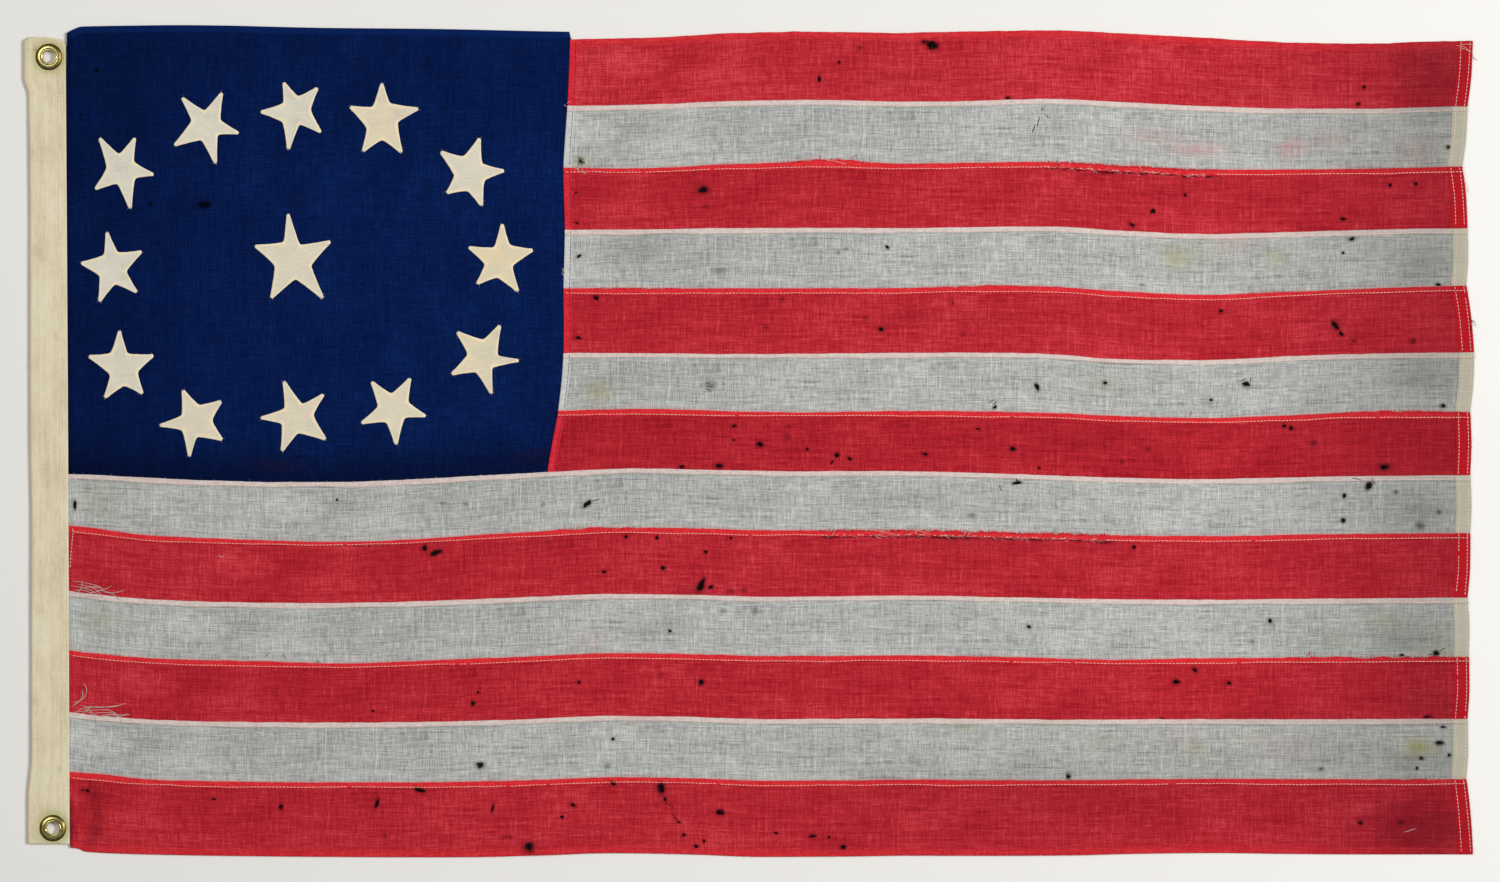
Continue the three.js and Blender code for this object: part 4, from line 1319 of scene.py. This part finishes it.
sewSeams()
sewHeading()
stitchMesh("stitches_pale", stitches["pale"], paleThread)
stitchMesh("stitches_dark", stitches["dark"], darkThread)
stitchMesh("stitches_red", stitches["red"], redThread)
print("seams sewn")

# Loose threads, frays, and worn marks with the painted shade of the holes

# Each thread is its points, with heights above the cloth, and its radius
threads = {"pale": [], "red": [], "white": [], "dark": [], "mark": []}
yarn = {
    "apart": {"red": 4.4, "white": 7},
    "tornApart": 0.75,
    "frayedApart": 1.3,
    "tuftsApart": 4.0,
    "flyEnd": 545,
    "fine": 0.07,        # radii of yarn
    "tuft": 0.08,
    "loose": 0.11,
    "white": 0.12,
    "mark": 0.22,
}


def wisp(kind, x, y, heading, long, radius, curl=1.0, lift=0.25, rng=None, points=6):
    # One loose thread that lies on the cloth in a soft curve
    rng = rng or np.random.default_rng(int(abs(x * 13 + y * 7)) % 100000)
    bend = rng.normal(0, curl, 2)
    share = np.linspace(0, 1, points)
    turn = heading + bend[0] * share + bend[1] * share ** 2
    stepLong = long / (points - 1)
    px = x + np.concatenate([[0], np.cumsum(np.cos(turn[:-1]) * stepLong)])
    py = y + np.concatenate([[0], np.cumsum(np.sin(turn[:-1]) * stepLong)])
    above = radius + lift * np.sin(np.pi * share) * rng.uniform(0.3, 1)
    threads[kind].append((np.column_stack([px, py, above]), radius))


def frayEdges():
    rng = np.random.default_rng(seeds["frays"])
    # Fuzz along the top edge of each band, thickest where the seam has come apart
    for stripe in range(1, stripeCount):
        left = float(leftEdges[stripe](seams[stripe](0) - 10)) + 2
        if stripe >= shortStripes:
            left = sewingEnds["hemHoist"]
        kind = stripeColour(stripe)
        for x in np.arange(left, yarn["flyEnd"], yarn["apart"][kind]):
            x = x + rng.uniform(-2, 2)
            heading = rng.choice([1, 1, -1]) * rng.uniform(0.5, 2.6)
            y = float(seams[stripe](x)) - 0.3
            wisp(kind, x, y, heading, rng.uniform(0.8, 2.2), yarn["fine"], 0.8, 0.1, rng, 4)
    for number, start, end in tornSeams:
        stripe = number - 1
        low, high = spot(start, 0)[0], spot(end, 0)[0]
        for x in np.arange(low, high, yarn["tornApart"]):
            x = x + rng.uniform(-0.6, 0.6)
            y = float(seams[stripe](x))
            wisp("red", x, y - 1.2, rng.uniform(0.5, 2.6), rng.uniform(1.4, 3.4), yarn["loose"], 0.7, 0.35,
                 rng, 4)
            if rng.random() < 0.3:
                wisp("white", x, y - 4.4, rng.uniform(-0.6, 0.6), rng.uniform(2, 6),
                     yarn["white"], 0.8, 0.3, rng)
            if rng.random() < 0.35:
                # dark yarn in the gap: painted shade
                wisp("mark", x, y - 5.2, rng.uniform(-0.3, 0.3), rng.uniform(1.5, 4.5),
                     yarn["mark"], 0.3, 0.1, rng, 4)
    for number, start, end in frayedSeams:
        low, high = spot(start, 0)[0], spot(end, 0)[0]
        for x in np.arange(low, high, yarn["frayedApart"]):
            x = x + rng.uniform(-0.8, 0.8)
            y = float(seams[number - 1](x))
            wisp("red", x, y - 0.6, rng.uniform(0.5, 2.6), rng.uniform(1.0, 2.4), yarn["loose"], 0.7, 0.25,
                 rng, 4)
    # Tufts at the fly end
    for stripe in range(stripeCount):
        kind = stripeColour(stripe)
        low, high = (float(seams[number](yarn["flyEnd"])) for number in (stripe + 1, stripe))
        for y in np.arange(low + 1, high - 1, yarn["tuftsApart"]):
            y = y + rng.uniform(-1, 1)
            wisp(kind, float(rightEdges[stripe](y)) - 0.4, y, rng.uniform(-1.2, 1.2), rng.uniform(0.8, 2.4),
                 yarn["tuft"], 0.8, 0.1, rng, 4)


# Loose threads seen one by one: kind, place in photo pixels, heading in degrees, length in millimetres
# The mark kind is dark yarn that paints the shade of a moth hole
looseThreads = [
    ("white", (72, 586), -8, 24), ("white", (74, 590), 4, 20), ("white", (78, 584), -14, 18),
    ("white", (84, 594), 10, 22), ("white", (90, 587), -20, 14), ("white", (72, 598), 16, 12),
    ("white", (76, 593), 30, 10), ("white", (96, 590), -6, 20), ("white", (104, 592), -10, 16),
    ("white", (73, 581), -4, 22), ("white", (82, 588), 8, 18), ("white", (78, 597), -2, 22),
    ("white", (73, 703), 14, 22), ("white", (84, 708), -18, 20), ("white", (94, 713), 2, 18),
    ("white", (78, 711), 34, 12), ("white", (112, 718), 10, 14), ("white", (72, 706), 24, 16),
    ("white", (74, 712), 6, 26), ("white", (80, 705), -12, 30), ("white", (86, 711), -24, 20),
    ("white", (92, 706), -6, 26), ("white", (100, 716), 14, 16), ("white", (104, 709), -8, 22),
    ("white", (76, 716), 20, 14), ("white", (110, 714), -4, 14), ("white", (563, 272), 80, 3),
    ("white", (564, 276), 120, 3), ("white", (567, 104), 60, 3), ("white", (567, 107), 140, 3),
    ("pale", (1456, 46), 4, 12), ("pale", (1458, 48), -8, 11), ("pale", (1460, 45), 10, 9),
    ("red", (1471, 52), -70, 8), ("red", (1472, 320), -40, 6), ("pale", (848, 529), -1, 36),
    ("pale", (884, 529), -2, 34), ("pale", (1125, 166), 8, 14), ("white", (915, 533), 60, 5),
    ("white", (917, 535), 130, 4), ("white", (964, 535), 70, 5), ("white", (967, 536), 40, 5),
    ("red", (1404, 658), 50, 5), ("red", (1306, 657), 60, 6), ("red", (1312, 658), 130, 6),
    ("dark", (70, 455), -80, 8), ("dark", (72, 466), -60, 6), ("red", (265, 657), 40, 5),
    ("red", (286, 659), 120, 5), ("pale", (1462, 168), -80, 20), ("pale", (1130, 163), -4, 12),
    ("pale", (804, 160), 5, 20), ("pale", (826, 160), -3, 16), ("red", (1060, 170), 100, 5),
    ("red", (1075, 170), 70, 5), ("red", (820, 160), 100, 4), ("red", (852, 159), 60, 5),
    ("pale", (640, 478), 10, 5), ("white", (219, 555), -50, 5), ("white", (1404, 832), 10, 9),
    ("red", (1190, 416), 80, 4), ("mark", (577, 161), 0, 7), ("mark", (581, 157), -92, 6),
    ("mark", (578, 158), -48, 7), ("mark", (584, 158), -135, 7), ("mark", (579, 165), 75, 6),
    ("white", (575, 169), 10, 7), ("white", (579, 171), -20, 6), ("white", (576, 167), -50, 5),
    ("white", (577, 170), 60, 5), ("white", (582, 168), -80, 4), ("mark", (1043, 107), -112, 3),
    ("mark", (1040, 117), -113, 5), ("mark", (1038, 122), -100, 4), ("mark", (1035, 125), -108, 5),
    ("mark", (1047, 115), -100, 4), ("mark", (1033, 130), -90, 2), ("mark", (988, 402), 0, 5),
    ("mark", (997, 401), -140, 4), ("mark", (584, 508), 38, 8), ("mark", (592, 501), 12, 7),
    ("mark", (1000, 485), -95, 5), ("mark", (1011, 485), 6, 8), ("mark", (706, 383), 0, 6),
    ("mark", (707, 386), -5, 6), ("mark", (706, 389), 2, 5), ("white", (708, 384), 0, 6),
    ("white", (711, 382), -92, 5), ("mark", (1470, 318), -80, 5), ("mark", (1471, 326), -110, 4),
    ("mark", (1236, 381), -8, 8), ("mark", (1250, 382), 60, 4), ("mark", (1352, 478), -10, 7),
    ("mark", (1372, 478), -80, 6), ("mark", (1440, 651), 45, 5), ("mark", (1432, 655), 150, 4),
    ("mark", (665, 801), -50, 9), ("mark", (673, 814), -55, 9), ("mark", (75, 500), -92, 7),
]
looseRadius = {"white": 0.27, "mark": 0.24, "pale": 0.22, "red": 0.2, "dark": 0.2}


def looseEnds():
    for number, (kind, place, degrees, long) in enumerate(looseThreads):
        x, y = spot(*place)
        rng = np.random.default_rng(seeds["looseThreads"] + number)
        wisp(kind, float(x), float(y), math.radians(degrees), long, looseRadius[kind], 0.7, 0.5, rng, 9)
    rng = np.random.default_rng(seeds["starFrays"])
    for piece, size, area, outline in starPieces:
        middle = outline.mean(axis=0)
        reach = np.hypot(*(outline - middle).T)
        for at in np.flatnonzero(reach > reach.max() * starShape["tufts"])[::2]:
            away = math.atan2(outline[at, 1] - middle[1], outline[at, 0] - middle[0])
            x, y = outline[at] - (outline[at] - middle) / reach[at] * 0.6
            wisp("white", float(x), float(y), away + rng.uniform(-0.7, 0.7), rng.uniform(1.0, 2.6),
                 yarn["tuft"], 0.6, 0.3, rng, 4)


# Moth holes and dark spots, read off the photo: place, width and height in pixels, slant in degrees
# The moth holes are not cut through: their near-black middles are painted shade on the cloth
wornSpotsAndHoleShade = [
    (205, 205, 11, 6, 10), (150, 204, 4, 3, 0), (97, 70, 4, 3, 0), (932, 45, 11, 8, -15),
    (925, 42, 6, 4, 0), (1008, 98, 4, 3, 0), (819, 80, 3, 6, 0), (839, 62, 3, 3, 0), (1364, 87, 3, 3, 0),
    (1358, 104, 3, 3, 0), (1448, 147, 3, 3, 0), (703, 190, 9, 7, 0), (577, 223, 3, 2, 0),
    (576, 193, 3, 1.5, 50), (1153, 211, 5, 4, 0), (1185, 195, 3, 3, 0), (1132, 225, 6, 3, -35),
    (1390, 185, 3, 3, 0), (1416, 184, 3, 3, 0), (1343, 219, 5, 3, 0), (1352, 239, 6, 3, 15),
    (1343, 253, 3, 3, 0), (1438, 285, 4, 3, 0), (579, 256, 4, 3, 30), (887, 247, 4, 3, -25),
    (1221, 311, 4, 3, 0), (1335, 325, 8, 4, -55), (1341, 334, 5, 3, -50), (596, 298, 6, 4, -20),
    (578, 338, 6, 3, -10), (881, 329, 5, 4, 0), (1105, 383, 4, 3, 0), (1246, 384, 7, 5, -20),
    (1211, 400, 4, 3, 0), (1443, 406, 4, 3, 0), (1037, 387, 4, 7, 20), (995, 407, 4, 3, 40),
    (734, 426, 4, 3, 0), (734, 440, 3, 2, 0), (760, 444, 6, 5, -20), (837, 455, 6, 5, 0),
    (832, 462, 4, 2, 60), (850, 459, 4, 3, -20), (682, 467, 5, 3, 0), (719, 466, 7, 5, 0),
    (807, 449, 3, 3, 0), (1013, 449, 5, 4, 0), (925, 454, 5, 3, 0), (1039, 468, 3, 2, 0),
    (978, 429, 4, 2, -15), (1284, 426, 4, 3, 0), (1291, 428, 4, 3, 0), (1384, 467, 8, 5, 0),
    (1368, 486, 9, 5, 60), (1344, 496, 4, 4, 0), (1343, 520, 4, 4, 0), (1017, 483, 8, 3, 5),
    (587, 504, 9, 4, 30), (75, 505, 9, 3, 90), (337, 500, 3, 2, 80), (425, 548, 5, 5, 0),
    (436, 553, 11, 5, 25), (626, 537, 3, 3, 0), (706, 552, 4, 3, 0), (657, 538, 3, 3, 0),
    (731, 538, 3, 2, 0), (604, 572, 4, 3, 0), (663, 568, 5, 4, 0), (701, 585, 14, 6, 62),
    (711, 587, 5, 3, 20), (1134, 547, 4, 3, 0), (670, 631, 3, 3, 0), (1029, 627, 4, 3, 0),
    (1270, 621, 4, 5, 0), (1176, 682, 7, 5, 0), (1195, 670, 6, 4, -30), (1229, 683, 4, 3, 0),
    (1162, 719, 4, 3, 0), (1428, 717, 6, 2, 0), (1436, 653, 5, 4, 30), (1401, 655, 4, 2, 0),
    (579, 682, 4, 3, 0), (701, 682, 5, 5, 0), (473, 703, 4, 4, 0), (478, 692, 3, 2, 0), (373, 711, 3, 2, 0),
    (1439, 743, 7, 4, 0), (1449, 755, 3, 3, 0), (1443, 727, 4, 2, 0), (1421, 758, 3, 3, 0),
    (1417, 768, 2, 3, 0), (1068, 776, 4, 6, 0), (480, 765, 7, 6, 0), (613, 739, 3, 3, 0),
    (1360, 823, 4, 3, 0), (573, 805, 5, 4, -30), (562, 817, 3, 3, 0), (613, 783, 5, 3, -30),
    (661, 788, 7, 10, 0), (665, 799, 4, 3, -60), (679, 822, 3, 2, 0), (684, 835, 4, 3, 0),
    (696, 846, 4, 3, 0), (704, 841, 3, 3, 0), (720, 812, 8, 5, 0), (529, 847, 9, 9, 0),
    (377, 804, 9, 4, 65), (420, 790, 9, 4, -20), (493, 808, 8, 2, 75), (281, 807, 5, 3, 80),
    (214, 799, 4, 2, 0), (83, 790, 4, 2, 0), (88, 791, 3, 3, 0), (776, 833, 3, 2, 0), (829, 837, 3, 2, 0),
    (843, 847, 6, 5, 0), (812, 836, 6, 3, 0),
]
# Grey smudges, read the same way
smudges = [
    (1396, 492, 4, 3, 0), (1420, 526, 7, 6, 0), (1439, 512, 3, 3, 0), (466, 504, 4, 3, 0),
    (543, 504, 3, 3, 0), (443, 503, 5, 2, 0), (723, 611, 6, 4, 0), (755, 611, 4, 5, 0), (607, 766, 5, 4, 0),
    (1252, 642, 3, 3, 0), (971, 515, 6, 4, 0), (710, 385, 10, 7, 0), (720, 271, 12, 5, 0),
    (838, 252, 3, 3, 0), (866, 318, 3, 3, 0), (766, 327, 4, 3, 0), (953, 303, 3, 3, 0), (963, 334, 3, 3, 0),
    (1314, 443, 5, 4, 0), (787, 437, 6, 4, -30), (789, 426, 4, 3, 0), (1142, 285, 4, 2, 0),
    (1354, 341, 4, 3, 0), (1413, 341, 4, 4, 0), (1148, 449, 4, 3, 0), (1122, 462, 4, 3, 0),
    (507, 837, 9, 3, 5), (1401, 822, 5, 3, 0), (1321, 769, 4, 3, 0), (385, 836, 3, 3, 0),
    (318, 662, 3, 3, 0), (846, 249, 3, 2, 0), (782, 299, 4, 3, 0), (860, 48, 4, 3, 0), (705, 207, 6, 3, 0),
    (661, 675, 4, 3, 0), (730, 591, 6, 4, 0), (744, 590, 4, 4, 0), (581, 161, 5, 4, 0),
]
spotShape = {
    "corners": 20,
    "rings": [1, 0.85, 0.7, 0.56, 0.42, 0.28, 0.14],
    "spread": 1.6,
    "margin": 1.5,
    "inset": 0.3,        # a disc stays this far inside its stripe
    "lift": 0.12,
    "rim": (0.7, 1),     # shares of its reach, over which it sinks into the cloth and fades
    "sink": 1.3,
    "deep": 0.25,
    "core": 1.12,
    "coreFade": 0.8,
    "shadeFade": 0.45,
    "smudge": 0.75,      # a smudge is this dark, and a hole's shade is 1
}


def clothUnder(x, y):  # the number of the stripe that lies at a place, or None on the canton
    for stripe in range(stripeCount):
        between = seams[stripe + 1](x) < y <= seams[stripe](x)
        if between and (stripe >= shortStripes or x > leftEdges[stripe](y)):
            return stripe
    return None


def spotDisc(px, py, wide, high, slant, seed):  # a disc's points, ring by ring, and how far out each one lies
    rng = np.random.default_rng(seed)
    cx, cy = spot(px, py)
    halfWide, halfHigh = wide * photo["mmPerPixel"] / 2, high * photo["mmPerPixel"] / 2
    angle = np.arange(spotShape["corners"]) / spotShape["corners"] * math.tau
    share = np.array([*spotShape["rings"], 0])[:, None]
    along = share * np.cos(angle) * (halfWide * spotShape["spread"] + spotShape["margin"])
    across = share * np.sin(angle) * (halfHigh * spotShape["spread"] + spotShape["margin"])
    turn = math.radians(slant)
    x = cx + along * math.cos(turn) - across * math.sin(turn)
    y = cy + along * math.sin(turn) + across * math.cos(turn)
    lobes = np.tile(rng.uniform(-1, 1, 7), 2)[:8]
    uneven = 1 + 0.5 * np.interp(angle, np.linspace(0, math.tau, 8), lobes)
    return x, y, ((along / halfWide) ** 2 + (across / halfHigh) ** 2) * uneven


def inOrder(values):  # one value for each point of a closed disc, in the order that discFaces takes
    rings = values[:, :-1].reshape(len(values), -1)
    return np.concatenate([rings, values[:, -1, :1], values[:, 0], values[:, -1, :1]], axis=1)


def laySpots():
    # A spot is a little disc of the same cloth: it darkens towards its middle, and fades out at its rim. A
    # moth hole's near-black core is painted shade, in place of a hole cut through the cloth
    groups = {}
    places = [(*place, 1) for place in wornSpotsAndHoleShade] + [(*place, 0) for place in smudges]
    for number, (*place, torn) in enumerate(places):
        stripe = clothUnder(*spot(*place[:2]))
        groups.setdefault(stripe, []).append((*spotDisc(*place, seeds["spots"] + number), torn))
    made = {"red": [], "white": [], "blue": []}
    share = np.array([*spotShape["rings"], 0])[None, :, None]
    outer = step(*spotShape["rim"], share)
    inner = 1 - outer
    for stripe, discs in groups.items():
        x, y, far, torn = (np.stack(values) for values in zip(*discs))
        torn = torn[:, None, None]
        if stripe is None:
            masks, colour, uv = cantonMasks(x, y), "blue", (y, x)
        else:
            low, high = seams[stripe + 1](x) + spotShape["inset"], seams[stripe](x) - spotShape["inset"]
            y = np.clip(y, low, high)
            masks, colour, uv = stripeMasks(stripe, x, y), stripeColour(stripe), stripeMap(stripe, x, y)
        masks["worn"] = torn * spotShape["core"] * np.exp(-spotShape["coreFade"] * far) * inner
        dark = spotShape["smudge"] + (1 - spotShape["smudge"]) * torn
        masks["shade"] = masks["shade"] + dark * np.exp(-spotShape["shadeFade"] * far) * inner
        height = clothTop(x, y) + spotShape["lift"] * (1 - spotShape["sink"] * outer)
        points = np.stack([inOrder(x), inOrder(y), inOrder(height)], -1)
        under = spotShape["corners"] + 1
        points[:, -under:, 2] -= spotShape["deep"]
        flatMasks = {name: inOrder(values) for name, values in masks.items()}
        made[colour].append((points, flatMasks, np.stack([inOrder(axis) for axis in uv], -1)))
    quads, triangles = discFaces(len(spotShape["rings"]), spotShape["corners"])
    for colour, parts in made.items():
        points = np.concatenate([part[0] for part in parts])
        masks = {name: np.concatenate([part[1][name] for part in parts]) for name in parts[0][1]}
        uv = np.concatenate([part[2] for part in parts]).reshape(-1, 2)
        base = (np.arange(len(points)) * points.shape[1])[:, None, None]
        faces = [(group[None] + base).reshape(-1, group.shape[1]) for group in (quads, triangles)]
        piece = meshPiece("worn_spots_" + colour, points.reshape(-1, 3), faces, uv, masks)
        piece.data.materials.append(bunting[colour])
        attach(piece, "root")
        colour + "_bunting"


def threadMesh(name, strands, material):  # thin three-sided tubes, closed to a point at both ends
    places, quads, triangles, base = [], [], [], 0
    every = np.vstack([points for points, radius in strands])
    every[:, 2] += clothTop(every[:, 0], every[:, 1])
    ends = np.cumsum([len(points) for points, radius in strands])[:-1]
    for points, (flat, radius) in zip(np.split(every, ends), strands):
        count = len(points)
        run = np.gradient(points, axis=0)
        run = run / np.linalg.norm(run, axis=1)[:, None]
        aside = np.stack([-run[:, 1], run[:, 0], np.zeros(count)], -1)
        upward = np.cross(run, aside)
        taper = np.ones(count)
        taper[0] = taper[-1] = 0.45
        ring = []
        for degrees in (90, 210, 330):
            angle = math.radians(degrees)
            out = aside * math.cos(angle) + upward * math.sin(angle)
            ring.append(points + out * (radius * taper)[:, None])
        places.append(np.stack(ring, axis=1).reshape(-1, 3))
        places.append([points[0] - run[0] * radius, points[-1] + run[-1] * radius])
        at = base + np.arange(count - 1) * 3
        for corner in range(3):
            following = (corner + 1) % 3
            quads.append(np.stack([at + corner, at + following, at + 3 + following, at + 3 + corner], -1))
            final = base + (count - 1) * 3
            triangles.append([[base + following, base + corner, base + count * 3]])
            triangles.append([[final + corner, final + following, base + count * 3 + 1]])
        base += count * 3 + 2
    piece = meshPiece(name, np.vstack(places), [np.vstack(quads), np.vstack(triangles)])
    piece.data.materials.append(material)
    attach(piece, "root")


frayEdges()
looseEnds()
laySpots()
whiteYarn = threadFinish("whiteYarn", dye(226, 220, 210), dye(196, 176, 172))
threadMesh("frays_red", threads["red"], redThread)
threadMesh("frays_white", threads["white"], whiteYarn)
threadMesh("threads_pale", threads["pale"], paleThread)
threadMesh("threads_blue", threads["dark"], darkThread)
threadMesh("hole_and_gap_shade_yarn", threads["mark"], holeAndGapShadeYarn)
print("frays and worn marks laid")

# What each sheet was cut to

cutting = {
    "seamAllowance": 10,
    "hemAllowance": 12,
    "starTurn": 2.5,
    "starRound": 150,    # about how long a star's outline is
    "starShare": 0.31,   # the least share of its box that a star covers
    "headingWide": 68,
}
for stripe, (piece, long, wide) in enumerate(stripePieces):
    flat = ((wide + cutting["seamAllowance"]) * metre, (long + cutting["hemAllowance"]) * metre)
piece, long, wide = cantonPiece
flat = ((wide + cutting["seamAllowance"] / 2) * metre, long * metre)
for piece, size, area, outline in starPieces:
    flat = tuple((size + 2 * cutting["starTurn"]) * metre)
    turned = area + cutting["starRound"] * cutting["starTurn"]
    cutArea = max(turned, cutting["starShare"] * flat[0] * flat[1] / metre ** 2)
    cutArea * metre ** 2
flat = (cutting["headingWide"] * metre, headingShape["long"] * metre)

# Stage, light and camera

studio = {
    "floorSize": 7.0,
    "floorHeight": -0.0002,
    "floorColor": (0.80, 0.785, 0.75, 1),
    "cameraHeight": 4.2,
    "sensor": 36.0,
    "keyPlace": (2.4, 0.3, 2.9),
    "keySize": 1.3,
    "keyPower": 112,
    "fillPlace": (-1.8, 1.2, 3.2),
    "fillSize": 2.4,
    "fillPower": 40,
    "worldStrength": 0.24,
}


def makeFloor():
    bpy.ops.object.select_all(action="DESELECT")
    bpy.ops.mesh.primitive_plane_add(size=studio["floorSize"], location=(0, 0, studio["floorHeight"]))
    floor = bpy.context.object
    floor.name = "studio_floor"
    finish = Finish("paleFloor", Base_Color=studio["floorColor"], Roughness=0.9)
    floor.data.materials.append(finish.material)


def makeLight(name, place, size, power):
    data = bpy.data.lights.new(name, "AREA")
    data.shape = "DISK"
    data.size = size
    data.energy = power
    light = bpy.data.objects.new(name, data)
    light.location = place
    light.rotation_euler = (-light.location).to_track_quat("-Z", "Y").to_euler()
    bpy.context.scene.collection.objects.link(light)


def makeCamera():  # straight above the flag, framed as the photo is
    data = bpy.data.cameras.new("photoCamera")
    wide = photo["size"][0] * photo["mmPerPixel"] * metre
    data.sensor_width = studio["sensor"]
    data.lens = studio["sensor"] * studio["cameraHeight"] / wide
    camera = bpy.data.objects.new("photoCamera", data)
    middle = spot(photo["size"][0] / 2, photo["size"][1] / 2)
    camera.location = (float(middle[0]) * metre, float(middle[1]) * metre, studio["cameraHeight"])
    bpy.context.scene.collection.objects.link(camera)
    bpy.context.scene.camera = camera


makeFloor()
makeLight("keyLight", studio["keyPlace"], studio["keySize"], studio["keyPower"])
makeLight("fillLight", studio["fillPlace"], studio["fillSize"], studio["fillPower"])
makeCamera()
world = bpy.data.worlds.new("softRoom")
world.use_nodes = True
world.node_tree.nodes["Background"].inputs["Color"].default_value = (1, 1, 1, 1)
world.node_tree.nodes["Background"].inputs["Strength"].default_value = studio["worldStrength"]
bpy.context.scene.world = world
bpy.context.scene.view_settings.view_transform = "Standard"
print("stage lit")
